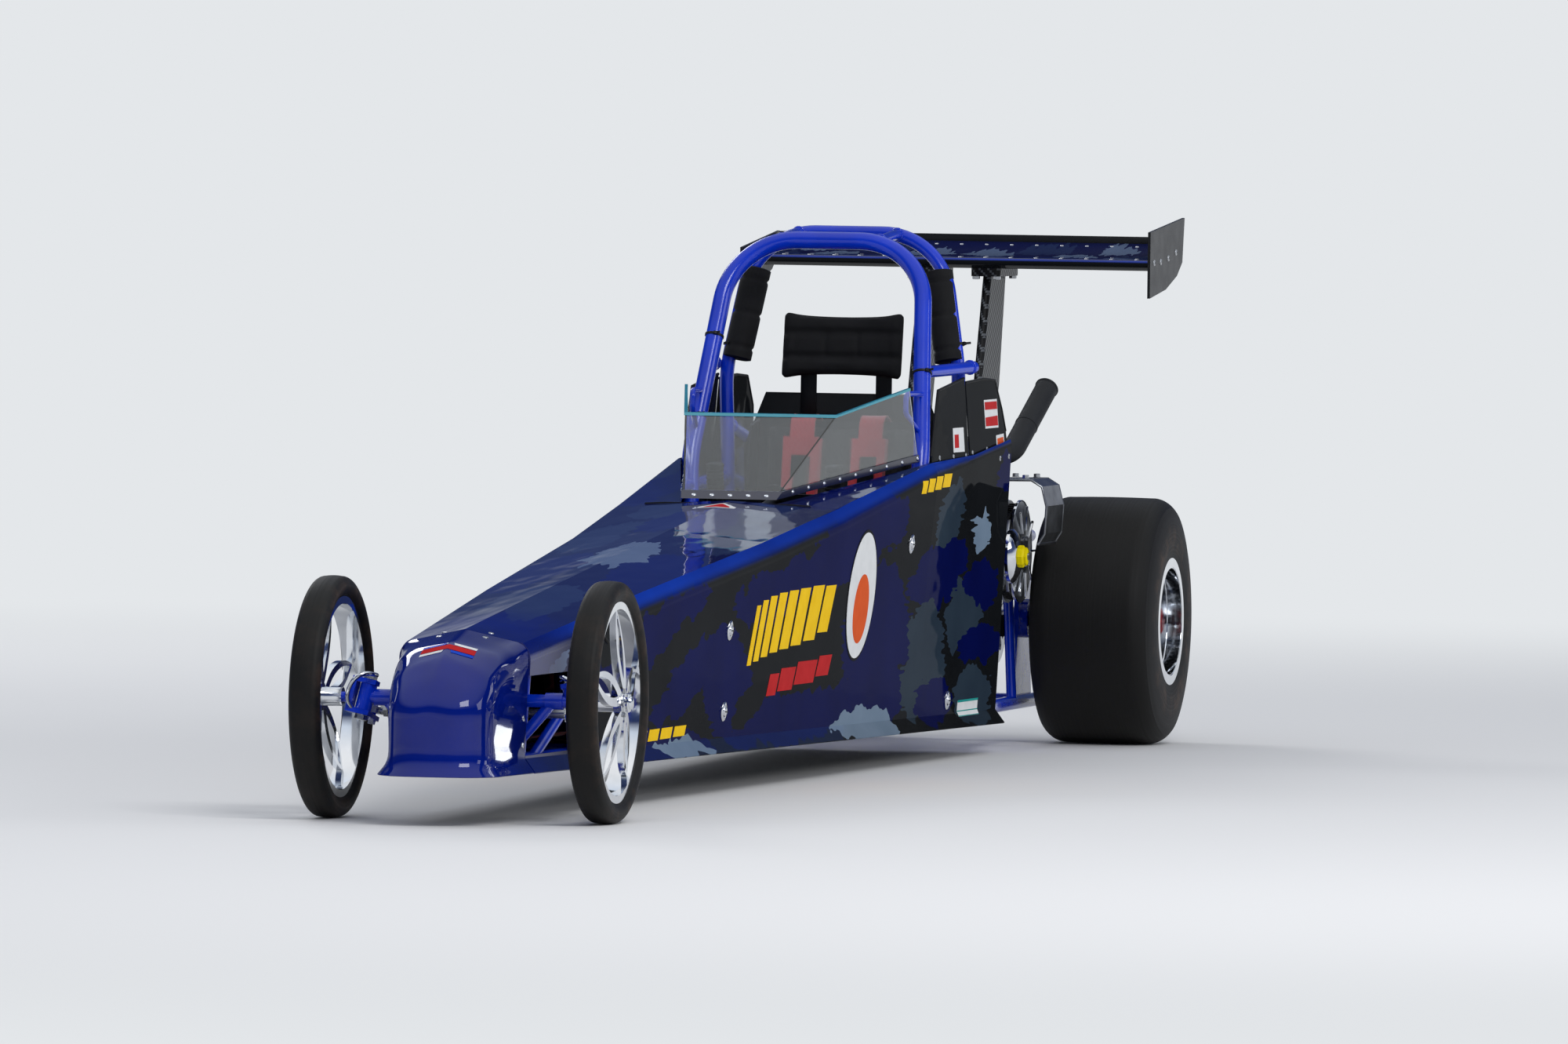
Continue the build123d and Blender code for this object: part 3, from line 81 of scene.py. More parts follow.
def add_node(tree: NodeTree, kind: str, inputs: dict[Any, Any] | None = None, **settings: Any) -> Node:
    """Adds a shader node with its settings, values and links.

    Args:
        tree: Node tree that gets the node.
        kind: Node type such as "ShaderNodeMath".
        inputs: Value, socket or node (its first output) for each input, by socket name or number.
        settings: Properties of the node itself.

    Returns:
        The new node.
    """
    node = tree.nodes.new(kind)
    for name, value in settings.items():
        setattr(node, name, value)
    for key, value in (inputs or {}).items():
        if isinstance(value, Node):
            value = value.outputs[0]
        if isinstance(value, NodeSocket):
            tree.links.new(value, node.inputs[key])
        else:
            node.inputs[key].default_value = value
    return node


def maths(tree: NodeTree, operation: str, *values: Any) -> NodeSocket:
    """Result of a maths node on values, nodes or sockets."""
    return add_node(tree, "ShaderNodeMath", dict(enumerate(values)), operation=operation).outputs[0]


def noise(tree: NodeTree, spot: NodeSocket, scale: float, detail: float) -> Node:
    """Noise node, with one over its grain size in metres as its scale."""
    return add_node(tree, "ShaderNodeTexNoise", {"Vector": spot, "Scale": scale, "Detail": detail})


def mixed(tree: NodeTree, share: Any, low: Any, high: Any) -> NodeSocket:
    """Two colours, each a socket or an sRGB hex code, mixed by a share."""
    inks = [linear(ink) if isinstance(ink, str) else ink for ink in (low, high)]
    return add_node(tree, "ShaderNodeMix", {0: share, 6: inks[0], 7: inks[1]}, data_type="RGBA").outputs[2]


# Modelling tools


def select_only(*objects: Object) -> None:
    """Leaves only these objects selected, the first of them active."""
    if bpy.context.mode != "OBJECT":
        bpy.ops.object.mode_set(mode="OBJECT")
    bpy.ops.object.select_all(action="DESELECT")
    for item in objects:
        item.select_set(True)
    bpy.context.view_layer.objects.active = objects[0]


def facing(spot: Sequence[float], axis: Sequence[float], spin: float = 0.0) -> Matrix:
    """Placement whose local Z lies along an axis.

    Args:
        spot: Place of the local origin.
        axis: Direction of local Z.
        spin: Turn about that axis, in degrees.

    Returns:
        The placement matrix.
    """
    turn = Vector(axis).to_track_quat("Z", "Y").to_matrix().to_4x4()
    return Matrix.Translation(Vector(spot)) @ turn @ Matrix.Rotation(math.radians(spin), 4, "Z")


def modify(item: Object, kind: str, **settings: Any) -> Object:
    """Applies a modifier of a kind, with its settings, to a piece."""
    select_only(item)
    change = item.modifiers.new(kind.lower(), kind)
    for name, value in settings.items():
        setattr(change, name, value)
    bpy.ops.object.modifier_apply(modifier=change.name)
    return item


def face_outwards(item: Object, merge: float = 0.0) -> Object:
    """Merges points closer than a distance in metres and turns every face outwards."""
    select_only(item)
    bpy.ops.object.mode_set(mode="EDIT")
    bpy.ops.mesh.select_all(action="SELECT")
    if merge:
        bpy.ops.mesh.remove_doubles(threshold=merge)
    bpy.ops.mesh.normals_make_consistent(inside=False)
    bpy.ops.object.mode_set(mode="OBJECT")
    return item


def sheet(name: str, columns: int, rows: int, spot_of: Callable[[int, int], Vector]) -> Object:
    """Grid of faces bent to a shape.

    Args:
        name: Name of the sheet.
        columns: Faces along it.
        rows: Faces across it.
        spot_of: Gives the place of the corner at a column and a row.

    Returns:
        The sheet, in place.
    """
    bpy.ops.object.select_all(action="DESELECT")
    bpy.ops.mesh.primitive_grid_add(x_subdivisions=columns, y_subdivisions=rows, size=1)
    item = bpy.context.object
    item.name = name
    for vertex in item.data.vertices:
        vertex.co = spot_of(round((vertex.co.x + 0.5) * columns), round((vertex.co.y + 0.5) * rows))
    return item


def finish_mesh(item: Object, angle: float = 35.0, bevel: float = 0.0, segments: int = 2) -> Object:
    """Bevels and smooths a piece, with its modifier applied.

    Args:
        item: Piece to finish.
        angle: Edges sharper than this stay crisp, in degrees.
        bevel: Width of the rounded edges in metres, or 0 for none.
        segments: Cuts across each rounded edge.

    Returns:
        The same piece.
    """
    select_only(item)
    if bevel > 0.0:
        modify(item, "BEVEL", width=bevel, segments=segments, limit_method="ANGLE", angle_limit=math.radians(30.0))
    bpy.ops.object.shade_smooth_by_angle(angle=math.radians(angle))
    return item


def lathe(name: str, profile: Sequence[tuple[float, float]], segments: int = 32) -> Object:
    """Turned piece about local Z, grown ring by ring from a circle.

    Args:
        name: Name of the piece.
        profile: Radius and height of each ring in metres; a radius of 0 closes an end.
        segments: Corners round the circle.

    Returns:
        The piece, at the origin.
    """
    select_only(next(iter(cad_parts.values())))
    bpy.ops.object.select_all(action="DESELECT")
    start_radius, start_height = profile[0]
    first = max(start_radius, 1e-5)
    bpy.ops.mesh.primitive_circle_add(vertices=segments, radius=first, location=(0, 0, start_height))
    item = bpy.context.object
    item.name = name
    bpy.ops.object.mode_set(mode="EDIT")
    bpy.ops.mesh.select_all(action="SELECT")
    radius, height = first, start_height
    for next_radius, next_height in profile[1:]:
        wide = max(next_radius, 1e-5)
        bpy.ops.mesh.extrude_region_move(TRANSFORM_OT_translate={"value": (0, 0, next_height - height)})
        bpy.ops.transform.resize(value=(wide / radius, wide / radius, 1), center_override=(0, 0, next_height))
        radius, height = wide, next_height
    face_outwards(item, 2e-5)
    item.location = (0, 0, 0)
    item.data.transform(Matrix.Translation((0, 0, start_height)))
    return item


def slab(name: str, outline: Sequence[tuple[float, float]], height: float) -> Object:
    """Flat piece of any outline on local XY, extruded up local Z.

    Args:
        name: Name of the piece.
        outline: Corner points in metres, in order.
        height: Thickness in metres.

    Returns:
        The piece, at the origin.
    """
    bpy.ops.object.select_all(action="DESELECT")
    bpy.ops.mesh.primitive_circle_add(vertices=len(outline), radius=0.01, fill_type="NGON")
    item = bpy.context.object
    item.name = name
    for vertex, (x, y) in zip(item.data.vertices, outline):
        vertex.co = (x, y, 0.0)
    bpy.ops.object.mode_set(mode="EDIT")
    bpy.ops.mesh.select_all(action="SELECT")
    bpy.ops.mesh.extrude_region_move(TRANSFORM_OT_translate={"value": (0, 0, height)})
    return face_outwards(item)


def hex_head(name: str, across: float, height: float) -> Object:
    """Chamfered hexagon bolt head with a washer face, standing on local XY.

    Args:
        name: Name of the piece.
        across: Width across its flats in metres.
        height: Height of the head in metres.

    Returns:
        The head, at the origin.
    """
    corner = across / math.sqrt(3)
    outline = [(corner * math.cos(math.radians(60 * k)), corner * math.sin(math.radians(60 * k))) for k in range(6)]
    head = slab(name, outline, height)
    select_only(head)
    bpy.ops.object.mode_set(mode="EDIT")
    bpy.ops.mesh.select_all(action="DESELECT")
    bpy.ops.object.mode_set(mode="OBJECT")
    for face in head.data.polygons:
        face.select = face.normal.z > 0.9
    bpy.ops.object.mode_set(mode="EDIT")
    bpy.ops.mesh.inset(thickness=0.12 * across)
    bpy.ops.transform.translate(value=(0, 0, 0.06 * across))
    bpy.ops.object.mode_set(mode="OBJECT")
    washer = lathe(name + "_washer", ((0.0, 0.0), (0.64 * across, 0.0), (0.64 * across, 0.12 * height),
                                      (0.0, 0.14 * height)), 20)
    return finish_mesh(join(name, [head, washer]), 25.0)


def bent_rod(name: str, points: Sequence[Sequence[float]], radius: float, sides: int = 3,
             smooth: bool = True) -> Object:
    """Round rod or tube through points, as a mesh.

    Args:
        name: Name of the piece.
        points: Points along its middle, in metres.
        radius: Its radius in metres.
        sides: Bevel resolution of the round section.
        smooth: Whether the line curves through the points.

    Returns:
        The rod, in place.
    """
    line = bpy.data.curves.new(name, "CURVE")
    line.dimensions = "3D"
    run = line.splines.new("NURBS" if smooth else "POLY")
    run.points.add(len(points) - 1)
    for knot, spot in zip(run.points, points):
        knot.co = (*spot, 1.0)
    if smooth:
        run.order_u = 3
        run.use_endpoint_u = True
        line.resolution_u = 8
    line.bevel_depth = radius
    line.bevel_resolution = sides
    line.use_fill_caps = True
    item = bpy.data.objects.new(name, line)
    bpy.context.scene.collection.objects.link(item)
    select_only(item)
    bpy.ops.object.convert(target="MESH")
    bpy.ops.object.shade_smooth_by_angle(angle=math.radians(40))
    return item


def copies(master: Object, placements: Iterable[Matrix], keep_master: bool = False) -> list[Object]:
    """Copies a piece to several places, each copy with its own mesh.

    Args:
        master: Piece modelled at the origin.
        placements: Turn and place of each copy.
        keep_master: Whether the first piece stays in the scene.

    Returns:
        The copies, with their places in their meshes.
    """
    made = []
    for matrix in placements:
        twin = master.copy()
        twin.data = master.data.copy()
        bpy.context.scene.collection.objects.link(twin)
        twin.data.transform(matrix)
        if matrix.determinant() < 0:
            twin.data.flip_normals()
        made.append(twin)
    if not keep_master:
        bpy.data.objects.remove(master)
    return made


def join(name: str, parts: Sequence[Object]) -> Object:
    """Joins pieces into one object.

    Args:
        name: Name of the result.
        parts: Pieces to join.

    Returns:
        The joined object.
    """
    select_only(*parts)
    if len(parts) > 1:
        bpy.ops.object.join()
    item = bpy.context.object
    item.name = name
    return item


def repeat(name: str, master: Object, placements: Iterable[Matrix]) -> Object:
    """One object made of copies of a piece at several places."""
    return join(name, copies(master, placements))


def both_sides(matrices: Iterable[Matrix]) -> list[Matrix]:
    """The same placements on the left and, mirrored, on the right."""
    left = list(matrices)
    return left + [MIRROR @ matrix for matrix in left]


def mirrored(item: Object, name: str) -> Object:
    """Copy of a piece on the car's right side."""
    return join(name, copies(item, [MIRROR], keep_master=True))


def ring_of(count: int, radius: float, height: float = 0.0, start: float = 0.0) -> list[Matrix]:
    """Placements spaced evenly round local Z.

    Args:
        count: Number of places.
        radius: Distance of each from the axis, in metres.
        height: Height of each along the axis, in metres.
        start: Angle of the first, in degrees.

    Returns:
        The placements, local X pointing outwards.
    """
    return [Matrix.Rotation(math.radians(start + 360 * k / count), 4, "Z") @ Matrix.Translation((radius, 0, height))
            for k in range(count)]


def land(node: str, start: Sequence[float], direction: Sequence[float]) -> tuple[Vector, Vector]:
    """Finds where a line first meets a CAD node or a finished piece.

    Args:
        node: Name of the node or piece.
        start: Start of the line, in metres.
        direction: Its direction.

    Returns:
        The meeting point and the surface normal there.
    """
    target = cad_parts.get(node) or bpy.data.objects[node]
    hit, spot, normal, _ = target.ray_cast(Vector(start), Vector(direction))
    if not hit:
        raise ValueError(f"no {node} ahead of {tuple(start)}")
    return spot, normal


def on_side(node: str, station: float, z: float, side: int = 1) -> Matrix:
    """Placement on a panel's outer face, seen from the car's side, with local Z outwards."""
    spot, normal = land(node, place(station, side * SIDE_REACH, z), (0, -side, 0))
    return facing(spot, normal)


def round_box(name: str, size: Sequence[float], bevel: float, segments: int = 3) -> Object:
    """Block with rounded edges, standing on local XY."""
    x, y, z = size[0] / 2, size[1] / 2, size[2]
    return finish_mesh(slab(name, ((x, y), (-x, y), (-x, -y), (x, -y)), z), 30.0, bevel, segments)


def hoop_ring(name: str, radius: float, width: float, height: float, segments: int = 32) -> Object:
    """Closed band round local Z: its inner radius, its width along the axis and its thickness."""
    low, high, outer = -width / 2, width / 2, radius + height
    edge = min(width, height) * 0.3
    profile = ((radius, low), (outer - edge, low), (outer, low + edge), (outer, high - edge), (outer - edge, high),
               (radius, high), (radius, low))
    return finish_mesh(lathe(name, profile, segments), 40.0)


class Rider:
    """Base of the sub-assemblies: dresses CAD nodes and hands new pieces to their bodies."""

    body: str = "chassis"

    def dress(self, finish: "Finish", *names: str) -> None:
        """Gives CAD nodes a finish.

        Args:
            finish: Finish to use.
            names: CAD nodes that get it.
        """
        for name in names:
            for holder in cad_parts[name].material_slots:
                holder.material = finish.material()
            LOG.info("node %s: %s", name, finish.name)

    def hand_over(self, item: Object, finish: "Finish", slot: str, body: str | None = None,
                  replaces: Sequence[str] = ()) -> Object:
        """Gives a finished piece its material and body.

        Args:
            item: Finished piece, with its place in its mesh.
            finish: Its finish.
            slot: Not used.
            body: Body it rides on, or None for the sub-assembly's own.
            replaces: CAD nodes that it stands for.

        Returns:
            The same piece.
        """
        item.data.materials.clear()
        item.data.materials.append(finish.material())
        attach(item, body or self.body)
        if replaces:
            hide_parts(*replaces)
        LOG.info("piece %s on %s: %s", item.name, body or self.body, finish.name)
        return item

    def pair(self, left: Object, finish: "Finish", slot: str, bodies: tuple[str, str]) -> None:
        """Hands over a left piece, its name ending in _left, and its mirrored right one."""
        right = mirrored(left, left.name.replace("_left", "_right"))
        self.hand_over(left, finish, slot, bodies[0])
        self.hand_over(right, finish, slot, bodies[1])

    def turned(self, name: str, profile: Sequence[tuple[float, float]], segments: int,
               placements: Iterable[Matrix], finish: "Finish", slot: str, body: str | None = None,
               angle: float = 30.0) -> Object:
        """Turns a piece, sets it at its placements and hands it over.

        Args:
            name: Name of the piece.
            profile: Radius and height of each ring in millimetres.
            segments: Corners round the circle.
            placements: Turn and place of each copy.
            finish: Its finish.
            slot: Not used; only passed on.
            body: Body it rides on, or None for the sub-assembly's own.
            angle: Edges sharper than this stay crisp, in degrees.

        Returns:
            The finished piece.
        """
        metres = [(radius / 1000, height / 1000) for radius, height in profile]
        master = finish_mesh(lathe(name, metres, segments), angle)
        return self.hand_over(repeat(name, master, placements), finish, slot, body)

    def bolts(self, name: str, across: float, height: float, placements: Iterable[Matrix],
              body: str | None = None) -> Object:
        """Sets plated hexagon heads, their size in metres, at their placements."""
        return self.hand_over(repeat(name, hex_head(name, across, height), placements), STEEL, "steel", body)


# Finishes


@dataclass(frozen=True)
class Finish:
    """A surface finish that writes itself as a node material, once."""

    name: str

    def material(self) -> Material:
        """Returns the finish's material, made at its first use."""
        found = bpy.data.materials.get(self.name)
        if found:
            return found
        made = bpy.data.materials.new(self.name)
        made.use_nodes = True
        tree = made.node_tree
        tree.nodes.clear()
        add_node(tree, "ShaderNodeOutputMaterial", {"Surface": self.surface(tree)})
        return made

    def surface(self, tree: NodeTree) -> NodeSocket:
        """Returns the shader of the finish; each kind of finish has its own."""
        raise NotImplementedError

    @staticmethod
    def where(tree: NodeTree, stretch: Point = (1.0, 1.0, 1.0), centre: Point = (0.0, 0.0, 0.0)) -> NodeSocket:
        """Object coordinates, moved to a centre and stretched.

        Args:
            tree: Node tree of the material.
            stretch: Factor on each coordinate, one over a real size in metres.
            centre: Point of the object that becomes zero.

        Returns:
            The coordinate socket.
        """
        spot = add_node(tree, "ShaderNodeTexCoord").outputs["Object"]
        shift = tuple(-value * factor for value, factor in zip(centre, stretch))
        return add_node(tree, "ShaderNodeMapping", {"Vector": spot, "Scale": stretch, "Location": shift}).outputs[0]

    @staticmethod
    def dapple(tree: NodeTree, low: str, high: str, size: float, detail: float = 4.0) -> NodeSocket:
        """Colour that drifts between two near shades over a real size in metres."""
        spread = noise(tree, Finish.where(tree), 1.0 / size, detail)
        shades = mixed(tree, spread, low, high)
        return shades

    @staticmethod
    def ranged(tree: NodeTree, value: NodeSocket, low: float, high: float) -> NodeSocket:
        """A 0 to 1 pattern brought to a range."""
        return add_node(tree, "ShaderNodeMapRange", {"Value": value, "To Min": low, "To Max": high}).outputs[0]

    @staticmethod
    def bumped(tree: NodeTree, height: NodeSocket, depth: float) -> NodeSocket:
        """Surface normal raised by a pattern, with its real depth in metres."""
        return add_node(tree, "ShaderNodeBump", {"Height": height, "Distance": depth, "Strength": 1.0}).outputs[0]


@dataclass(frozen=True)
class PowderCoat(Finish):
    """Baked powder coat on steel tube: thick glossy skin with a faint orange peel."""

    low: str = "#0428A8"
    high: str = "#073CDA"
    gloss: float = 0.1

    def surface(self, tree: NodeTree) -> NodeSocket:
        """Returns the glossy coat over a slightly uneven blue."""
        peel = noise(tree, self.where(tree), 1 / 0.0035, 2.0)
        dust = noise(tree, self.where(tree), 1 / 0.05, 5.0)
        return add_node(tree, "ShaderNodeBsdfPrincipled", {
            "Base Color": self.dapple(tree, self.low, self.high, 0.09),
            "Roughness": self.ranged(tree, dust, self.gloss, self.gloss + 0.22),
            "Specular IOR Level": 0.3,
            "Coat Weight": 0.4,
            "Coat Roughness": 0.04,
            "Normal": self.bumped(tree, peel, 0.00003),
        }).outputs[0]


class Tone(Enum):
    """Inks of the printed camouflage."""

    CHARCOAL = ("#101214", "#1B1D20")
    NAVY = ("#050A38", "#091252")
    SLATE = ("#202B39", "#35434F")
    PALE = ("#5E7286", "#8799AC")


@dataclass(frozen=True)
class Blob:
    """One patch of camouflage: an oval in the panel's plane, in millimetres."""

    tone: Tone
    station: float
    across: float
    half_length: float
    half_width: float
    tilt: float = 0.0


# Patches of the side, by station and height, read from front to back
SIDE_BLOBS = (
    Blob(Tone.NAVY, 3420, 200, 230, 60, -8),
    Blob(Tone.NAVY, 2930, 300, 330, 42, -11),
    Blob(Tone.NAVY, 2720, 200, 200, 48, -16),
    Blob(Tone.NAVY, 2950, 95, 420, 26, 0),
    Blob(Tone.NAVY, 2440, 190, 150, 95, 10),
    Blob(Tone.NAVY, 2160, 345, 260, 48, -6),
    Blob(Tone.NAVY, 1640, 420, 330, 62, -9),
    Blob(Tone.NAVY, 1450, 250, 220, 130, 0),
    Blob(Tone.NAVY, 1900, 120, 560, 42, -2),
    Blob(Tone.NAVY, 1480, 130, 330, 50, 0),
    Blob(Tone.CHARCOAL, 1960, 262, 330, 42, -5),
    Blob(Tone.CHARCOAL, 2270, 160, 130, 38, -14),
    Blob(Tone.NAVY, 1040, 345, 210, 56, -4),
    Blob(Tone.SLATE, 1110, 195, 150, 110, 0),
    Blob(Tone.SLATE, 980, 450, 120, 60, -20),
    Blob(Tone.SLATE, 830, 265, 130, 60, 0),
    Blob(Tone.SLATE, 720, 110, 150, 50, 0),
    Blob(Tone.NAVY, 690, 318, 140, 44, 4),
    Blob(Tone.NAVY, 670, 205, 130, 36, -2),
    Blob(Tone.NAVY, 985, 120, 110, 42, 0),
    Blob(Tone.NAVY, 560, 520, 60, 30, 0),
    Blob(Tone.PALE, 1480, 86, 220, 30, 0),
    Blob(Tone.PALE, 2740, 88, 190, 14, 0),
    Blob(Tone.PALE, 3540, 265, 50, 22, -10),
    Blob(Tone.PALE, 760, 420, 60, 40, 0),
)

# Patches of the hood, by station and distance from the middle
TOP_BLOBS = (
    Blob(Tone.NAVY, 3600, 40, 260, 55, 0),
    Blob(Tone.SLATE, 3250, 30, 220, 40, 0),
    Blob(Tone.NAVY, 2800, 90, 300, 55, 0),
    Blob(Tone.PALE, 2560, 20, 200, 40, 0),
    Blob(Tone.SLATE, 2250, 120, 220, 50, 0),
    Blob(Tone.NAVY, 2020, 20, 210, 70, 0),
    Blob(Tone.SLATE, 1860, 100, 130, 45, 0),
    Blob(Tone.NAVY, 1560, 180, 230, 50, 0),
    Blob(Tone.SLATE, 1250, 215, 160, 30, 0),
    Blob(Tone.PALE, -150, 60, 60, 45, 0),
    Blob(Tone.SLATE, -230, 150, 70, 50, 0),
    Blob(Tone.PALE, -120, 225, 50, 50, 0),
    Blob(Tone.PALE, -240, 300, 60, 40, 0),
    Blob(Tone.SLATE, -110, 345, 60, 40, 0),
)


@dataclass(frozen=True)
class CamouflageWrap(Finish):
    """Printed vinyl wrap under a clear film: flat inks with combed edges, running to candy blue at the nose.

    Upward faces carry the top's patches, their inks lightened towards candy blue as a painted sky reflection, and a wet
    metallic gloss; raised faces that lean up are drawn bright blue as a painted sky reflection; upright faces stay deep
    and satin.
    """

    candy_from: float = 3330.0
    candy_full: float = 3680.0
    candy: tuple[str, str] = ("#020C4A", "#05208A")

    @staticmethod
    def combed(tree: NodeTree, plane: NodeSocket) -> NodeSocket:
        """Returns the plane pushed about in broad waves and fine teeth, so that edges look combed."""
        spot = plane
        # tooth length and height in metres, and how far it pushes along and across
        for length, height, along, across in ((0.26, 0.12, 0.11, 0.030), (0.045, 0.050, 0.02, 0.022),
                                              (0.10, 0.010, 0.055, 0.003)):
            spread = add_node(tree, "ShaderNodeMapping", {"Vector": plane, "Scale": (1 / length, 1 / height, 1)})
            push = noise(tree, spread, 1.0, 1.0)
            centred = add_node(tree, "ShaderNodeVectorMath", {0: push.outputs[1], 1: (0.5, 0.5, 0.5)},
                               operation="SUBTRACT")
            sized = add_node(tree, "ShaderNodeVectorMath", {0: centred, 1: (2 * along, 2 * across, 0)},
                             operation="MULTIPLY")
            spot = add_node(tree, "ShaderNodeVectorMath", {0: spot, 1: sized}).outputs[0]
        return spot

    def print_of(self, tree: NodeTree, plane: NodeSocket, blobs: tuple[Blob, ...], lift: float) -> NodeSocket:
        """Draws patches over the ground ink.

        Args:
            tree: Node tree of the material.
            plane: (along, across) coordinates in metres.
            blobs: Patches to draw, the last on top.
            lift: Share by which the inks are lightened towards candy blue, a painted sky reflection; 0 for none.

        Returns:
            The colour socket.
        """
        spot = self.combed(tree, plane)
        inks = {}
        for tone in Tone:
            low, high = tone.value
            ink = self.dapple(tree, low, high, 0.18)
            # a lift lightens each ink towards candy blue: painted sky reflection
            if lift:
                ink = mixed(tree, lift, ink, self.candy[1])
            inks[tone] = ink
        colour = inks[Tone.CHARCOAL]
        for blob in blobs:
            oval = add_node(tree, "ShaderNodeMapping", {
                "Vector": spot,
                "Location": (REAR_AXLE_X + blob.station / 1000, blob.across / 1000, 0),
                "Rotation": (0, 0, math.radians(blob.tilt)),
                "Scale": (blob.half_length / 1000, blob.half_width / 1000, 1),
            }, vector_type="TEXTURE")
            reach = add_node(tree, "ShaderNodeVectorMath", {0: oval}, operation="LENGTH")
            inside = maths(tree, "LESS_THAN", reach.outputs["Value"], 1.0)
            colour = mixed(tree, inside, colour, inks[blob.tone])
        return colour

    def surface(self, tree: NodeTree) -> NodeSocket:
        """Returns the clear-coated print, with painted sky reflection in blue on its upward and up-leaning faces."""
        axes = add_node(tree, "ShaderNodeSeparateXYZ", {0: self.where(tree)})
        width = maths(tree, "ABSOLUTE", axes.outputs[1])
        side_plane = add_node(tree, "ShaderNodeCombineXYZ", {0: axes, 1: axes.outputs[2]})
        top_plane = add_node(tree, "ShaderNodeCombineXYZ", {0: axes, 1: width})
        lean = add_node(tree, "ShaderNodeSeparateXYZ", {0: add_node(tree, "ShaderNodeNewGeometry").outputs["Normal"]})
        up = add_node(tree, "ShaderNodeMapRange", {"Value": lean.outputs[2], "From Min": 0.12, "From Max": 0.6},
                      interpolation_type="SMOOTHSTEP").outputs[0]
        on_top = maths(tree, "GREATER_THAN", lean.outputs[2], 0.8)
        sides = self.print_of(tree, side_plane, SIDE_BLOBS, 0.0)
        # the top's print is lightened towards candy blue: painted sky reflection on upward faces
        tops = self.print_of(tree, top_plane, TOP_BLOBS, 0.28)
        ink = mixed(tree, on_top, sides, tops)
        forward = add_node(tree, "ShaderNodeMapRange", {
            "Value": axes,
            "From Min": REAR_AXLE_X + self.candy_from / 1000,
            "From Max": REAR_AXLE_X + self.candy_full / 1000,
        }, interpolation_type="SMOOTHSTEP").outputs[0]
        dye = self.dapple(tree, *self.candy, 0.25)
        # faces leaning up, off the top and above the lip, get the bright blue glow: painted sky reflection on the
        # rolled shoulder
        flat = maths(tree, "SUBTRACT", 1.0, on_top)
        high = maths(tree, "GREATER_THAN", axes.outputs[2], 0.12)
        raised = maths(tree, "MULTIPLY", flat, high)
        rolled = maths(tree, "MULTIPLY", up, raised)
        glow = self.dapple(tree, "#061C70", "#1040B8", 0.3)
        ink = mixed(tree, rolled, ink, glow)
        ink = mixed(tree, forward, ink, dye)
        shine = maths(tree, "MAXIMUM", up, forward)
        film = noise(tree, self.where(tree), 1 / 0.12, 4.0)
        ripple = noise(tree, self.where(tree, (1.4, 4.0, 4.0)), 5.0, 1.0)
        return add_node(tree, "ShaderNodeBsdfPrincipled", {
            "Base Color": ink,
            "Metallic": self.ranged(tree, shine, 0.0, 0.02),
            "Roughness": self.ranged(tree, film, 0.24, 0.4),
            "Specular IOR Level": 0.0,
            "Coat Weight": self.ranged(tree, shine, 0.1, 0.75),
            "Coat Roughness": 0.03,
            "Coat Normal": self.bumped(tree, ripple, 0.0012),
        }).outputs[0]


@dataclass(frozen=True)
class Sticker(Finish):
    """Cut vinyl film: one ink, a little faded in patches, under a satin face."""

    low: str = "#EFBC00"
    high: str = "#FFD423"

    def surface(self, tree: NodeTree) -> NodeSocket:
        """Returns the satin film."""
        wear = noise(tree, self.where(tree), 1 / 0.02, 5.0)
        return add_node(tree, "ShaderNodeBsdfPrincipled", {
            "Base Color": self.dapple(tree, self.low, self.high, 0.03),
            "Roughness": self.ranged(tree, wear, 0.3, 0.5),
            "Specular IOR Level": 0.0,
            "Coat Weight": 0.1,
        }).outputs[0]


class Grain(Enum):
    """How a metal surface was worked: stretch of its scratches along x, y and z."""

    POLISHED = (1.0, 1.0, 1.0)
    BRUSHED_ALONG = (0.04, 1.0, 1.0)
    BRUSHED_ACROSS = (1.0, 0.04, 1.0)


@dataclass(frozen=True)
class BareMetal(Finish):
    """Bare metal: its own colour, with scratches or grain of a real size."""

    low: str = "#C9CCD0"
    high: str = "#E4E6E9"
    gloss: tuple[float, float] = (0.05, 0.16)
    grain: Grain = Grain.POLISHED
    scratch: float = 0.0008
    depth: float = 0.000004

    def surface(self, tree: NodeTree) -> NodeSocket:
        """Returns the scratched metal."""
        stretched = tuple(value / self.scratch for value in self.grain.value)
        lines = noise(tree, self.where(tree, stretched), 1.0, 3.0)
        smear = noise(tree, self.where(tree), 1 / 0.03, 5.0)
        return add_node(tree, "ShaderNodeBsdfPrincipled", {
            "Base Color": self.dapple(tree, self.low, self.high, 0.04),
            "Metallic": 1.0,
            "Roughness": self.ranged(tree, smear, *self.gloss),
            "Normal": self.bumped(tree, lines, self.depth),
        }).outputs[0]


@dataclass(frozen=True)
class CastMetal(Finish):
    """Sand-cast aluminium: dull and grainy, its tone drifting between darker and lighter patches."""

    low: str = "#5E6062"
    high: str = "#9B9DA0"
    metal: float = 0.8

    def surface(self, tree: NodeTree) -> NodeSocket:
        """Returns the grainy casting."""
        grit = noise(tree, self.where(tree), 1 / 0.0016, 4.0)
        return add_node(tree, "ShaderNodeBsdfPrincipled", {
            "Base Color": self.dapple(tree, self.low, self.high, 0.03, 8.0),
            "Metallic": self.metal,
            "Roughness": self.ranged(tree, grit, 0.42, 0.66),
            "Normal": self.bumped(tree, grit, 0.00025),
        }).outputs[0]


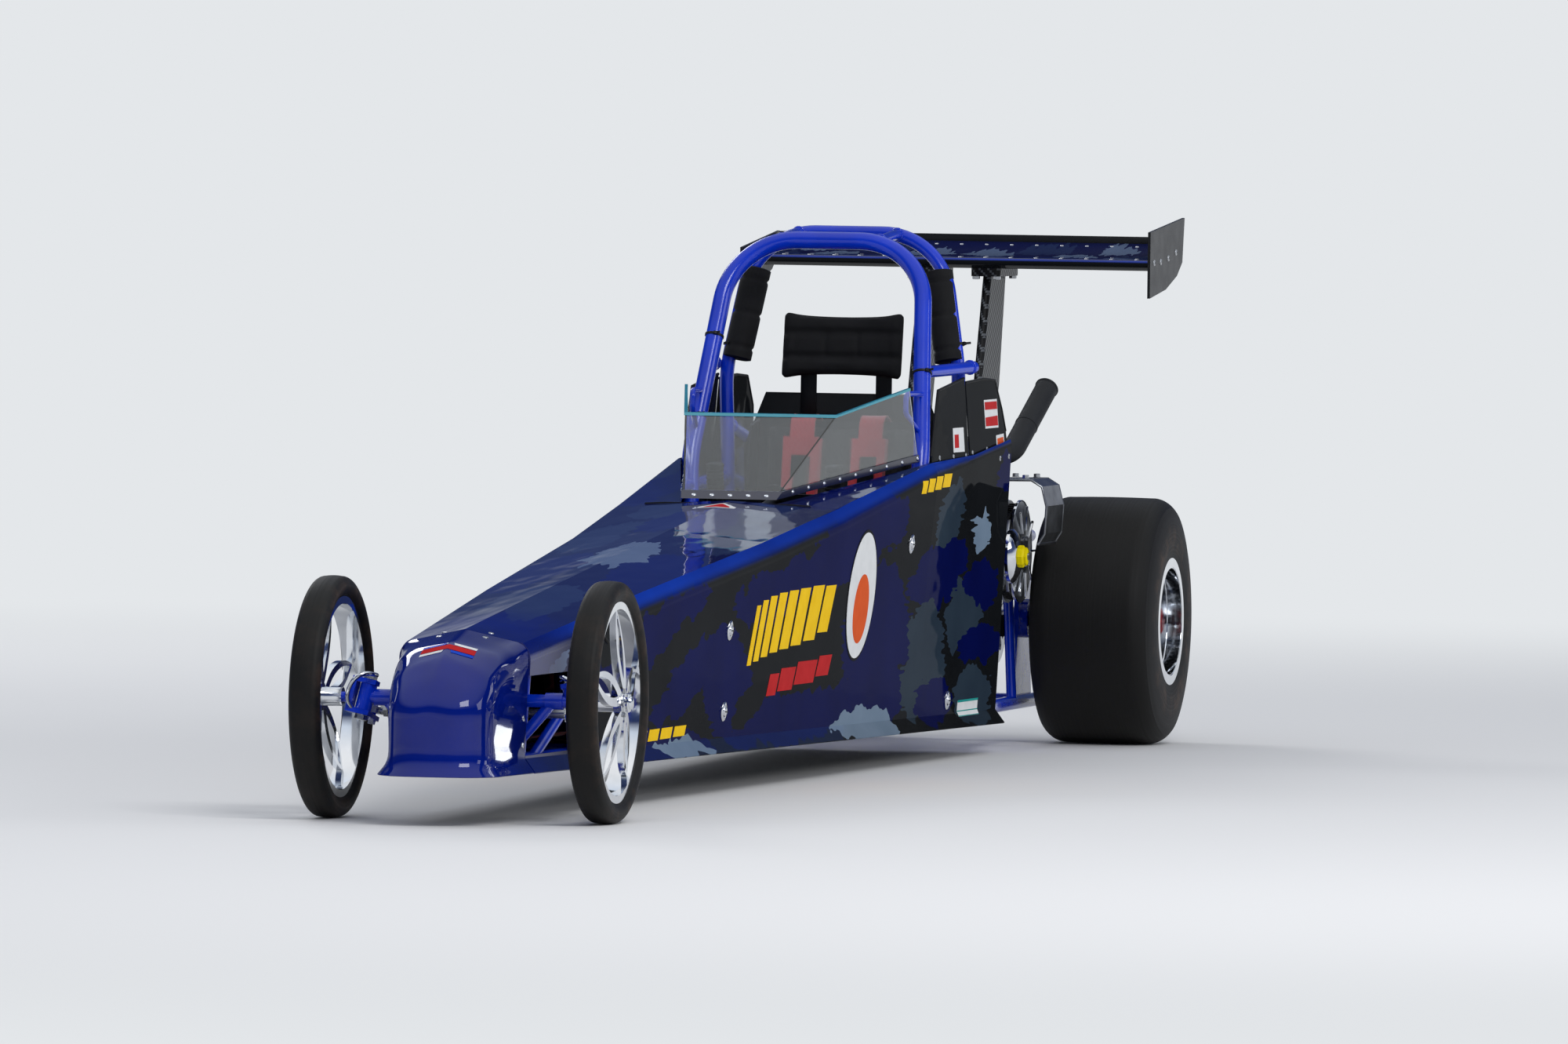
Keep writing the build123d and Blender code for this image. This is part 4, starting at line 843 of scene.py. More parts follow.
@dataclass(frozen=True)
class DarkPlain(Finish):
    """Black oxide, heat paint, moulded rubber or nylon: a dark skin with a fine grain."""

    low: str = "#101112"
    high: str = "#1C1D1F"
    gloss: tuple[float, float] = (0.38, 0.58)
    grit: float = 0.0012
    depth: float = 0.00006
    metal: float = 0.0

    def surface(self, tree: NodeTree) -> NodeSocket:
        """Returns the grained dark skin."""
        grain = noise(tree, self.where(tree), 1 / self.grit, 3.0)
        smear = noise(tree, self.where(tree), 1 / 0.04, 5.0)
        return add_node(tree, "ShaderNodeBsdfPrincipled", {
            "Base Color": self.dapple(tree, self.low, self.high, 0.05),
            "Metallic": self.metal,
            "Roughness": self.ranged(tree, smear, *self.gloss),
            "Specular IOR Level": 0.25,
            "Normal": self.bumped(tree, grain, self.depth),
        }).outputs[0]


@dataclass(frozen=True)
class SlickRubber(Finish):
    """Racing tyre: black rubber scrubbed along its tread, with brown dust on its walls."""

    centre: Point = (0.0, 0.0, 0.0)
    dust_inner: float = 0.125
    dust_outer: float = 0.2

    def surface(self, tree: NodeTree) -> NodeSocket:
        """Returns rubber whose scuffs run round the tyre."""
        spot = self.where(tree, centre=self.centre)
        axes = add_node(tree, "ShaderNodeSeparateXYZ", {0: spot})
        flat = add_node(tree, "ShaderNodeCombineXYZ", {0: axes, 2: axes.outputs[2]})
        radius = add_node(tree, "ShaderNodeVectorMath", {0: flat}, operation="LENGTH").outputs["Value"]
        ring = add_node(tree, "ShaderNodeCombineXYZ", {0: radius, 1: axes.outputs[1]}).outputs[0]
        scuff = noise(tree, ring, 1 / 0.004, 5.0)
        cloud = add_node(tree, "ShaderNodeTexNoise", {"Vector": spot, "Scale": 1 / 0.045, "Detail": 6.0,
                                                      "Roughness": 0.65})
        rise = add_node(tree, "ShaderNodeMapRange", {"Value": radius, "From Min": self.dust_inner,
                                                     "From Max": self.dust_inner + 0.02})
        fall = add_node(tree, "ShaderNodeMapRange", {"Value": radius, "From Min": self.dust_outer,
                                                     "From Max": self.dust_outer + 0.02, "To Min": 1.0,
                                                     "To Max": 0.0})
        band = maths(tree, "MULTIPLY", rise, fall)
        patchy = add_node(tree, "ShaderNodeMapRange", {"Value": cloud, "From Min": 0.46,
                                                       "From Max": 0.68, "To Max": 0.45})
        dusty = maths(tree, "MULTIPLY", band, patchy)
        black = mixed(tree, scuff, "#070707", "#141312")
        dust = mixed(tree, dusty, black, "#5B4434")
        return add_node(tree, "ShaderNodeBsdfPrincipled", {
            "Base Color": dust,
            "Roughness": self.ranged(tree, scuff, 0.48, 0.72),
            "Specular IOR Level": 0.25,
            "Normal": self.bumped(tree, scuff, 0.00025),
        }).outputs[0]


@dataclass(frozen=True)
class CarbonWeave(Finish):
    """Carbon cloth in clear resin, two-by-two twill, the tows on top drawn light grey as a painted highlight."""

    tow: float = 0.0042

    def surface(self, tree: NodeTree) -> NodeSocket:
        """Returns the twill under clear resin."""
        spot = self.where(tree, (1 / self.tow, 1 / self.tow, 1 / self.tow))
        axes = add_node(tree, "ShaderNodeSeparateXYZ", {0: spot})
        girth = maths(tree, "ADD", axes, axes.outputs[1])
        steps = [maths(tree, "FLOOR", value)
                 for value in (girth, axes.outputs[2])]
        stair = maths(tree, "ADD", steps[0], steps[1])
        turn = maths(tree, "FLOORED_MODULO", stair, 4.0)
        over = maths(tree, "LESS_THAN", turn, 0.5)
        # tows on top are light grey: a painted highlight on black carbon
        cloth = mixed(tree, over, "#060607", "#5A5E63")
        return add_node(tree, "ShaderNodeBsdfPrincipled", {
            "Base Color": cloth,
            "Roughness": self.ranged(tree, over, 0.5, 0.3),
            "Specular IOR Level": 0.2,
            "Coat Weight": 0.1,
            "Coat Roughness": 0.06,
            "Normal": self.bumped(tree, over, 0.00015),
        }).outputs[0]


@dataclass(frozen=True)
class ClearSheet(Finish):
    """Polycarbonate sheet: clear, with a faint haze of fine scratches."""

    tint: str = "#E9F1F4"

    def surface(self, tree: NodeTree) -> NodeSocket:
        """Returns the clear sheet."""
        haze = noise(tree, self.where(tree, (1.0, 1.0, 0.3)), 1 / 0.02, 5.0)
        return add_node(tree, "ShaderNodeBsdfPrincipled", {
            "Base Color": linear(self.tint),
            "Roughness": self.ranged(tree, haze, 0.0, 0.06),
            "IOR": 1.45,
            "Transmission Weight": 1.0,
        }).outputs[0]


@dataclass(frozen=True)
class EdgedTrim(Finish):
    """Bolted flange in navy wrap below, and the screen's dyed top binding above a height."""

    split: float = 0.6

    def surface(self, tree: NodeTree) -> NodeSocket:
        """Returns navy below the split and clear cyan-green plastic above it."""
        axes = add_node(tree, "ShaderNodeSeparateXYZ", {0: self.where(tree)})
        above = maths(tree, "GREATER_THAN", axes.outputs[2], self.split)
        cloud = noise(tree, self.where(tree), 1 / 0.03, 4.0)
        low = self.dapple(tree, "#06081F", "#0C1038", 0.05)
        high = self.dapple(tree, "#12808E", "#1FA0B8", 0.08)
        tint = mixed(tree, above, low, high)
        return add_node(tree, "ShaderNodeBsdfPrincipled", {
            "Base Color": tint,
            "Roughness": self.ranged(tree, cloud, 0.16, 0.3),
            "Coat Weight": 0.2,
            "Coat Roughness": 0.04,
        }).outputs[0]


@dataclass(frozen=True)
class Woven(Finish):
    """Woven webbing or knitted cover: fine threads of a real pitch, with a soft sheen."""

    low: str = "#B02A34"
    high: str = "#D8434C"
    pitch: float = 0.0022
    sheen: float = 0.5

    def surface(self, tree: NodeTree) -> NodeSocket:
        """Returns the ribbed cloth."""
        wave = add_node(tree, "ShaderNodeTexWave", {"Vector": self.where(tree), "Scale": 0.16 / self.pitch,
                                                    "Distortion": 0.4}, bands_direction="DIAGONAL")
        cross = add_node(tree, "ShaderNodeTexWave", {"Vector": self.where(tree), "Scale": 0.16 / self.pitch,
                                                     "Distortion": 0.4}, bands_direction="Y")
        threads = maths(tree, "MULTIPLY", wave.outputs[1], cross.outputs[1])
        worn = self.dapple(tree, self.low, self.high, 0.02)
        shade = mixed(tree, threads, self.low, worn)
        return add_node(tree, "ShaderNodeBsdfPrincipled", {
            "Base Color": shade,
            "Roughness": self.ranged(tree, threads, 0.75, 0.9),
            "Sheen Weight": self.sheen,
            "Normal": self.bumped(tree, threads, 0.0003),
        }).outputs[0]


FRAME_BLUE = PowderCoat("powder_coated_steel_tube")
BODY_WRAP = CamouflageWrap("printed_wrap_on_aluminium")
YELLOW_FILM = Sticker("yellow_cut_vinyl")
BLUE_FILM = Sticker("blue_cut_vinyl", "#1A3FB0", "#2450CC")
WHITE_FILM = Sticker("white_cut_vinyl", "#D8DADB", "#EDEEEE")
ORANGE_FILM = Sticker("orange_cut_vinyl", "#D4501E", "#E8622A")
RED_FILM = Sticker("red_cut_vinyl", "#B01A1E", "#CC2A2C")
TEAL_FILM = Sticker("teal_cut_vinyl", "#1E8A86", "#38A8A0")
BLACK_FILM = Sticker("black_cut_vinyl", "#101114", "#1B1C20")
BLACK_PANEL = DarkPlain("black_anodised_sheet", gloss=(0.3, 0.46))
POLISHED = BareMetal("polished_aluminium")
BRUSHED = BareMetal("brushed_aluminium", "#8F9296", "#B9BCC0", (0.24, 0.4), Grain.BRUSHED_ALONG, 0.0012, 0.00001)
STEEL = BareMetal("zinc_plated_steel", "#9A9CA0", "#C4C6C8", (0.2, 0.36))
BLACK_STEEL = DarkPlain("black_oxide_steel", "#141517", "#232427", (0.3, 0.5), 0.0009, 0.00003, 0.6)
CASTING = CastMetal("sand_cast_aluminium")
RUBBER = DarkPlain("moulded_rubber", "#0E0E0E", "#191918", (0.55, 0.75), 0.001, 0.00008)
SPUN = BareMetal("machined_and_polished_aluminium", "#D4D7DB", "#F2F4F7", (0.04, 0.12), Grain.BRUSHED_ACROSS, 0.0009)
# guard sheet runs from near black to silver: painted reflections on bare aluminium
GUARD_SHEET_PAINTED_REFLECTION = BareMetal("rolled_aluminium_sheet", "#2E3033", "#A2A5A9", (0.22, 0.42), Grain.BRUSHED_ALONG, 0.0016,
                        0.00002)
RED_ANODISED = BareMetal("red_anodised_aluminium", "#8E1218", "#B81C22", (0.16, 0.28))
YELLOW_PAINT = Sticker("yellow_enamel_on_steel", "#D9C400", "#EEDB1A")
CERAMIC = Sticker("glazed_ceramic_and_plated_steel", "#C9C8C2", "#E6E5E0")
BLACK_NYLON = DarkPlain("moulded_nylon", "#0C0C0D", "#161617", (0.32, 0.5), 0.0009, 0.00002)
SCREEN = ClearSheet("polycarbonate_sheet")
SCREEN_EDGE = EdgedTrim("screen_flange_and_binding")
CARBON = CarbonWeave("carbon_twill_in_resin")
FOAM = DarkPlain("closed_cell_foam", "#0D0D0E", "#171719", (0.7, 0.9), 0.0016, 0.0003)
WEBBING = Woven("polyester_webbing")
PAD_CLOTH = Woven("knitted_seat_cover", "#101013", "#1D1D22", 0.0035, 0.25)
RED_CLOTH = Woven("oiled_filter_cloth", "#7A1418", "#A02228", 0.002, 0.1)
HEAT_BLACK = DarkPlain("heat_resistant_paint", "#16171A", "#26282B", (0.5, 0.7), 0.0011, 0.00005)
FRONT_RUBBER = SlickRubber("front_racing_tyre_rubber", (REAR_AXLE_X + 3.665, 0.0, 0.203), 0.166, 0.185)
REAR_RUBBER = SlickRubber("rear_slick_rubber", (REAR_AXLE_X, 0.0, 0.229), 0.12, 0.165)


# Studio


@dataclass
class Studio:
    """Pale floor, soft light and the camera that took the view."""

    camera_spot: Point = (32.3035, 7.429, 1.431)
    yaw: float = 12.76
    pitch: float = 1.69
    roll: float = 0.77
    lens: float = 430.5
    pale: str = "#E4E7EA"
    floor_radius: float = 60.0
    fade_start: float = 3.4
    fade_end: float = 9.0

    def camera(self) -> None:
        """Sets the camera at the view's place and angle."""
        yaw, pitch, roll = (math.radians(value) for value in (self.yaw, self.pitch, self.roll))
        ahead = Vector((-math.cos(yaw) * math.cos(pitch), -math.sin(yaw) * math.cos(pitch), -math.sin(pitch)))
        right = ahead.cross(Vector((0, 0, 1))).normalized()
        up = right.cross(ahead)
        right_rolled = math.cos(roll) * right + math.sin(roll) * up
        up_rolled = -math.sin(roll) * right + math.cos(roll) * up
        data = bpy.data.cameras.new("view_camera")
        data.lens = self.lens
        data.sensor_width = 36.0
        data.clip_end = 500.0
        item = bpy.data.objects.new("view_camera", data)
        bpy.context.scene.collection.objects.link(item)
        turn = Matrix((right_rolled, up_rolled, -ahead)).transposed().to_4x4()
        item.matrix_world = Matrix.Translation(self.camera_spot) @ turn
        bpy.context.scene.camera = item

    def floor(self) -> None:
        """Lays a pale floor that fades into the background."""
        bpy.ops.object.select_all(action="DESELECT")
        bpy.ops.mesh.primitive_circle_add(vertices=96, radius=self.floor_radius, fill_type="NGON")
        ground = bpy.context.object
        ground.name = "studio_floor"
        made = bpy.data.materials.new("pale_studio_floor")
        made.use_nodes = True
        tree = made.node_tree
        tree.nodes.clear()
        spot = add_node(tree, "ShaderNodeTexCoord").outputs["Object"]
        reach = add_node(tree, "ShaderNodeVectorMath", {0: spot}, operation="LENGTH").outputs["Value"]
        span = {"Value": reach, "From Min": self.fade_start, "From Max": self.fade_end}
        fade = add_node(tree, "ShaderNodeMapRange", span, interpolation_type="SMOOTHSTEP")
        matt = add_node(tree, "ShaderNodeBsdfPrincipled", {"Base Color": linear("#EEEDEC"), "Roughness": 0.7})
        glow = add_node(tree, "ShaderNodeEmission", {"Color": linear(self.pale), "Strength": 1.0})
        blend = add_node(tree, "ShaderNodeMixShader", {0: fade, 1: matt, 2: glow})
        add_node(tree, "ShaderNodeOutputMaterial", {"Surface": blend})
        ground.data.materials.append(made)

    def sky(self) -> None:
        """Soft even light, with a banded sky that only gloss and glass see."""
        world = bpy.data.worlds.new("soft_box")
        bpy.context.scene.world = world
        world.use_nodes = True
        tree = world.node_tree
        tree.nodes.clear()
        path = add_node(tree, "ShaderNodeLightPath")
        height = add_node(tree, "ShaderNodeSeparateXYZ", {0: add_node(tree, "ShaderNodeTexCoord").outputs[0]})
        bands = add_node(tree, "ShaderNodeValToRGB", {0: height.outputs[2]})
        # height of each band of the sky, and its brightness
        stops = ((0.0, "#D4D8DE"), (0.05, "#D4D8DE"), (0.14, "#46557C"), (0.42, "#22305A"), (0.62, "#DCE6F4"),
                 (1.0, "#FFFFFF"))
        ramp = bands.color_ramp
        while len(ramp.elements) < len(stops):
            ramp.elements.new(0.5)
        for element, (spot, code) in zip(ramp.elements, stops):
            element.position = spot
            element.color = linear(code)
        mirror = add_node(tree, "ShaderNodeBackground", {"Color": bands, "Strength": 1.0})
        plain = add_node(tree, "ShaderNodeBackground", {"Color": linear(self.pale), "Strength": 1.0})
        level = add_node(tree, "ShaderNodeBackground", {"Color": linear("#EAF0FA"), "Strength": 0.55})
        glossy = add_node(tree, "ShaderNodeMixShader", {0: path.outputs["Is Glossy Ray"], 1: level,
                                                        2: mirror})
        seen = maths(tree, "MAXIMUM", path.outputs["Is Camera Ray"], path.outputs["Is Transmission Ray"])
        both = add_node(tree, "ShaderNodeMixShader", {0: seen, 1: glossy, 2: plain})
        add_node(tree, "ShaderNodeOutputWorld", {"Surface": both})

    def lamps(self) -> None:
        """Sets a large key light ahead and to the left, and two fills."""
        # name, place, aim, width, height, watts
        table = (
            ("key", (5.5, 3.6, 5.2), (0.0, 0.0, 0.3), 3.2, 2.2, 210.0),
            ("side_fill", (-0.5, 6.5, 3.0), (-0.4, 0.0, 0.4), 5.0, 1.6, 75.0),
            ("back_fill", (-6.0, -4.5, 4.5), (-0.6, 0.0, 0.4), 3.0, 2.0, 110.0),
        )
        for name, spot, aim, width, height, watts in table:
            data = bpy.data.lights.new(name, "AREA")
            data.shape = "RECTANGLE"
            data.size = width
            data.size_y = height
            data.energy = watts
            item = bpy.data.objects.new(name, data)
            bpy.context.scene.collection.objects.link(item)
            item.matrix_world = facing(spot, Vector(spot) - Vector(aim))

    def build(self) -> None:
        """Builds the whole studio."""
        self.camera()
        self.floor()
        self.sky()
        self.lamps()
        bpy.context.scene.view_settings.view_transform = "Standard"


# Sub-assemblies


@dataclass
class FrameTubes(Rider):
    """Rails, hoops, braces and cage bars, with their weld beads, ties and end caps."""

    # joints that show: station, y, z of the bead's middle, direction of the tube, tube radius
    welds: tuple[tuple[Point, Point, float], ...] = (
        ((1046, 201, 706), (-238, 43, 6), 11.0),
        ((842, 238, 712), (-238, 43, 6), 11.0),
        ((946, 92, 941), (-172, 0, 12), 9.5),
        ((806, 92, 951), (-172, 0, 12), 9.5),
        ((817, 211, 596), (-924, -68, -216), 11.0),
        ((-62, 145, 390), (-924, -68, -216), 11.0),
        ((120, 157, 76), (0, 1, 0), 9.5),
        ((-90, 157, 76), (0, 1, 0), 9.5),
        ((140, 142, 396), (0, 1, 0), 9.5),
        ((-90, 137, 382), (0, 1, 0), 9.5),
        ((560, 196, 79), (0, 1, 0), 9.5),
        ((600, 170, 466), (0, 1, 0), 9.5),
    )
    # nylon ties round the tubes: station, y, z, direction of the tube, tube radius
    ties: tuple[tuple[Point, Point, float], ...] = (
        ((1102, -206, 620), (-172, 38, 397), 15.9),
        ((1040, -193, 765), (-172, 38, 397), 15.9),
        ((1066, 199, 705), (-172, -38, 397), 15.9),
        ((826, -211, 745), (-44, 45, 252), 12.7),
        ((824, 210, 752), (-44, -45, 252), 12.7),
        ((640, 198, 555), (-924, -68, -216), 11.0),
        ((420, 182, 503), (-924, -68, -216), 11.0),
    )

    def weld_bead(self, radius: float) -> Object:
        """Ring of overlapping weld ripples round local Z."""
        bpy.ops.object.select_all(action="DESELECT")
        bpy.ops.mesh.primitive_torus_add(major_segments=48, minor_segments=8, major_radius=radius, minor_radius=0.0024)
        ring = bpy.context.object
        for vertex in ring.data.vertices:
            turn = math.atan2(vertex.co.y, vertex.co.x)
            swell = 1 + 0.30 * abs(math.sin(12 * turn))
            out = Vector((vertex.co.x, vertex.co.y, 0)).normalized() * radius
            vertex.co = out + (vertex.co - out) * swell
        return finish_mesh(ring, 60.0)

    def nylon_tie(self, radius: float) -> Object:
        """Flat strap with its locking head and cut tail."""
        strap = hoop_ring("tie_strap", radius + 0.0002, 0.0046, 0.0014, 28)
        head = round_box("tie_head", (0.0075, 0.0085, 0.006), 0.001, 2)
        head.data.transform(Matrix.Translation((radius + 0.001, 0, -0.003)))
        tail = round_box("tie_tail", (0.012, 0.0016, 0.0044), 0.0005, 1)
        tail.data.transform(Matrix.Translation((radius + 0.007, 0.004, -0.0022)) @ Matrix.Rotation(0.5, 4, "Z"))
        return join("tie", [strap, head, tail])

    def on_tubes(self, name: str, maker: Any, table: Sequence[tuple[Point, Point, float]], lift: float,
                 spin: float) -> Object:
        """Puts one ring piece round each tube of a table.

        Args:
            name: Name of the joined result.
            maker: Method that makes a ring for a tube radius in metres.
            table: Places, tube directions and tube radii in millimetres.
            lift: Added to each tube radius, in metres.
            spin: Turn of each ring about its tube, in degrees.

        Returns:
            The joined rings.
        """
        rings = []
        for spot, axis, radius in table:
            ring = maker(radius / 1000 + lift)
            ring.data.transform(facing(place(*spot), axis, spin))
            rings.append(ring)
        return join(name, rings)

    def build(self) -> None:
        """Dresses the tubes and adds what is welded, tied or plugged on them."""
        self.dress(FRAME_BLUE, "main_rails", "roll_hoops", "frame_braces", "cross_tubes", "cage_bars")
        self.dress(FRAME_BLUE, "column_supports", "axle_carriers", "engine_mount", "wing_mount")
        beads = self.on_tubes("weld_beads", self.weld_bead, self.welds, 0.0, 0.0)
        self.hand_over(join("weld_beads", [beads, mirrored(beads, "beads_right")]), FRAME_BLUE, "frame_blue")
        ties = self.on_tubes("nylon_ties", self.nylon_tie, self.ties, 0.0, 120.0)
        self.hand_over(ties, BLACK_NYLON, "rubber")
        spots = both_sides([facing(place(825.5, 241.1, 712), (-238, 43, 6))])
        profile = ((0, 0), (11.2, 0), (11.2, 2), (9.5, 4.2), (0, 5.2))
        self.turned("bar_end_plugs", profile, 24, spots, BLACK_NYLON, "rubber", angle=35.0)


@dataclass
class Bodywork(Rider):
    """Wrapped panels of the body with their fasteners, screen rivets and plain cut-vinyl marks."""

    side_buttons: tuple[tuple[float, float], ...] = ((2460, 284), (2450, 143), (1278, 403), (890, 109))
    # slanted bars of the side mark: front station, length, low edge, high edge, lean
    yellow_bars: tuple[tuple[float, float, float, float, float], ...] = (
        (2326, 26, 218, 322, -34), (2286, 34, 224, 330, -34), (2238, 42, 230, 336, -34), (2182, 50, 236, 340, -34),
        (2118, 58, 240, 342, -34), (2046, 66, 244, 344, -34), (1964, 74, 250, 346, -34), (1874, 66, 262, 344, -30),
    )
    red_bars: tuple[tuple[float, float, float, float, float], ...] = (
        (2176, 60, 160, 198, -16), (2104, 96, 166, 206, -16), (1996, 130, 174, 214, -16), (1854, 84, 184, 220, -16),
    )
    low_bars: tuple[tuple[float, float, float, float, float], ...] = (
        (3232, 34, 107, 125, -8), (3186, 40, 107, 125, -8), (3132, 46, 107, 126, -8), (3072, 52, 108, 126, -8),
        (3006, 58, 108, 127, -8), (2934, 64, 108, 128, -8), (2856, 70, 109, 128, -8), (2772, 74, 110, 128, -8),
    )
    high_bars: tuple[tuple[float, float, float, float, float], ...] = (
        (1246, 34, 492, 515, -10), (1202, 40, 494, 518, -10), (1152, 48, 497, 521, -10), (1094, 62, 500, 524, -10),
    )
    roundel: tuple[float, float, float, float] = (1596, 320, 92, 112)
    rivet_step: float = 0.062
    nose_pole: int = 3842
    nose_turns: int = 44
    nose_low_rows: tuple[float, ...] = (84.4, 86, 88, 91, 95, 100, 106, 113, 121, 130, 140, 150)
    nose_arc_rows: int = 26
    nose_passes: int = 9

    def nose_columns(self) -> list[tuple[Vector, Vector]]:
        """Columns of the nose's skin: spine point and outward direction, from the right side round to the left."""
        side = range(3702, self.nose_pole, 7)
        columns = [(place(station, 0, 0), Vector((0, -1, 0))) for station in side]
        pole = place(self.nose_pole, 0, 0)
        for step in range(self.nose_turns + 1):
            turn = math.radians(-90 + 180 * step / self.nose_turns)
            columns.append((pole, Vector((math.cos(turn), math.sin(turn), 0))))
        columns += [(place(station, 0, 0), Vector((0, 1, 0))) for station in reversed(side)]
        return columns

    def nose(self) -> None:
        """Draws one smooth skin over the nose form, with its flared lip, in place of the faceted node."""
        columns = self.nose_columns()
        up = Vector((0, 0, 1))
        rings = len(self.nose_low_rows) + self.nose_arc_rows
        grid = []
        for spine, out in columns:
            column = []
            for z in self.nose_low_rows:
                start = spine + out * 0.6 + up * (z / 1000)
                column.append(land("nose_cone", start, -out)[0])
            for step in range(1, self.nose_arc_rows + 1):
                lift = math.radians(90 * step / self.nose_arc_rows)
                way = out * math.cos(lift) + up * math.sin(lift)
                centre = spine + up * (self.nose_low_rows[-1] / 1000)
                column.append(land("nose_cone", centre + way * 0.6, -way)[0])
            grid.append(column)
        keep_rows = 4
        for _ in range(self.nose_passes):
            fresh = [list(column) for column in grid]
            for i in range(1, len(grid) - 1):
                share = min(1.0, min(i, len(grid) - 1 - i) / 6)
                for j in range(keep_rows, rings - 1):
                    around = grid[i - 1][j] + grid[i + 1][j] + grid[i][j - 1] + grid[i][j + 1]
                    fresh[i][j] = grid[i][j].lerp(around / 4, 0.6 * share)
            grid = fresh
        skin = face_outwards(sheet("nose_skin", len(grid) - 1, rings - 1, lambda i, j: grid[i][j]), 5e-5)
        face_outwards(modify(skin, "SOLIDIFY", thickness=0.002, offset=-1.0))
        self.hand_over(finish_mesh(skin, 45.0), BODY_WRAP, "nose_blue", replaces=("nose_cone",))

    def film(self, name: str, node: str, columns: Sequence[tuple[float, float, float]], rows: int = 5,
             side: int = 1, lean: float = 0.0, lift: float = 0.0004) -> Object:
        """Thin film laid on a panel's outer face.

        Args:
            name: Name of the film.
            node: CAD node that it lies on.
            columns: Station, low height and high height of each column in millimetres; with a side
                of 0 the heights are distances from the middle and the film lies on top.
            rows: Faces from low to high.
            side: 1 for the car's left, -1 for its right, 0 for the top.
            lean: How much further ahead the high edge is than the low one, in millimetres.
            lift: Height of the film's underside off the panel, in metres.

        Returns:
            The film, in place.
        """
        def spot_of(column: int, row: int) -> Vector:
            station, low, high = columns[column]
            share = row / rows
            ahead, across = station + lean * share, low + (high - low) * share
            if side:
                spot, normal = land(node, place(ahead, side * SIDE_REACH, across), (0, -side, 0))
            else:
                spot, normal = land(node, place(ahead, across, TOP_REACH), (0, 0, -1))
            return spot + normal * lift

        item = modify(sheet(name, len(columns) - 1, rows, spot_of), "SOLIDIFY", thickness=0.0003, offset=0.0)
        return finish_mesh(face_outwards(item, 1e-5), 50.0)

    def bars(self, name: str, table: Sequence[tuple[float, float, float, float, float]], finish: Finish) -> None:
        """Lays a row of slanted bars on both sides of the body."""
        made = []
        for side in (1, -1):
            for front, length, low, high, lean in table:
                steps = [front - length * k / 3 for k in range(4)]
                made.append(self.film(name, "side_panels", [(spot, low, high) for spot in steps], 4, side, lean))
        self.hand_over(join(name, made), finish, "body_wrap")

    def disc(self, name: str, centre: tuple[float, float], half: tuple[float, float], finish: Finish,
             lift: float) -> None:
        """Lays an oval film on both sides of the body."""
        made = []
        for side in (1, -1):
            turns = [math.pi * k / 28 for k in range(29)]
            columns = [(centre[0] + half[0] * math.cos(turn), centre[1] - half[1] * math.sin(turn),
                        centre[1] + half[1] * math.sin(turn)) for turn in turns]
            made.append(self.film(name, "side_panels", columns, 8, side, 0.0, lift))
        self.hand_over(join(name, made), finish, "body_wrap")

    def marks(self) -> None:
        """Lays the plain bars and the roundel on the body."""
        self.bars("side_mark_yellow", self.yellow_bars, YELLOW_FILM)
        self.bars("side_mark_red", self.red_bars, RED_FILM)
        self.bars("sill_mark_yellow", self.low_bars, YELLOW_FILM)
        self.bars("shoulder_mark_yellow", self.high_bars, YELLOW_FILM)
        station, z, half_length, half_height = self.roundel
        self.disc("roundel_edge", (station, z), (half_length + 5, half_height + 5), BLACK_FILM, 0.0004)
        self.disc("roundel_field", (station, z), (half_length, half_height), WHITE_FILM, 0.0008)
        self.disc("roundel_spot", (station - 4, z - 24), (half_length * 0.55, half_height * 0.55), ORANGE_FILM, 0.0012)
        # name, finish, node, columns (station, low, high), lift
        plates = (
            ("sill_label", WHITE_FILM, "side_panels", ((812, 76, 105), (740, 76, 105), (664, 76, 105)), 0.0004),
            ("sill_label_band", TEAL_FILM, "side_panels", ((812, 76, 87), (740, 76, 87), (664, 76, 87)), 0.0008),
            ("sill_label_edge", TEAL_FILM, "side_panels", ((812, 102, 106), (740, 102, 106), (664, 102, 106)), 0.0008),
            ("fin_label_orange", ORANGE_FILM, "rear_fins", ((612, 562, 578), (560, 562, 580)), 0.0008),
            ("fin_label_back", WHITE_FILM, "rear_fins", ((620, 558, 584), (552, 558, 586)), 0.0004),
            ("fin_label_red", RED_FILM, "rear_fins", ((700, 602, 618), (600, 602, 620)), 0.0008),
            ("fin_label_white", WHITE_FILM, "rear_fins", ((704, 598, 650), (596, 598, 650)), 0.0004),
            ("fin_label_low", RED_FILM, "rear_fins", ((700, 632, 646), (600, 632, 646)), 0.0008),
            ("shoulder_label", WHITE_FILM, "shoulder_panels", ((960, 560, 604), (880, 560, 604)), 0.0004),
            ("shoulder_label_red", RED_FILM, "shoulder_panels", ((950, 568, 592), (920, 568, 592)), 0.0008),
        )
        for name, finish, node, columns, lift in plates:
            made = [self.film(name, node, columns, 3, side, 0.0, lift) for side in (1, -1)]
            self.hand_over(join(name, made), finish, "body_wrap")
        # arrowhead ahead of the screen
        tops = (
            ("arrowhead_white", WHITE_FILM, "hood", ((1852, -34, 34), (1836, -34, 34), (1790, -4, 4)), 0.0004),
            ("arrowhead_red", RED_FILM, "hood", ((1846, -24, 24), (1836, -22, 22), (1802, -3, 3)), 0.0008),
        )
        for name, finish, node, columns, lift in tops:
            self.hand_over(self.film(name, node, columns, 4, 0, 0.0, lift), finish, "body_wrap")
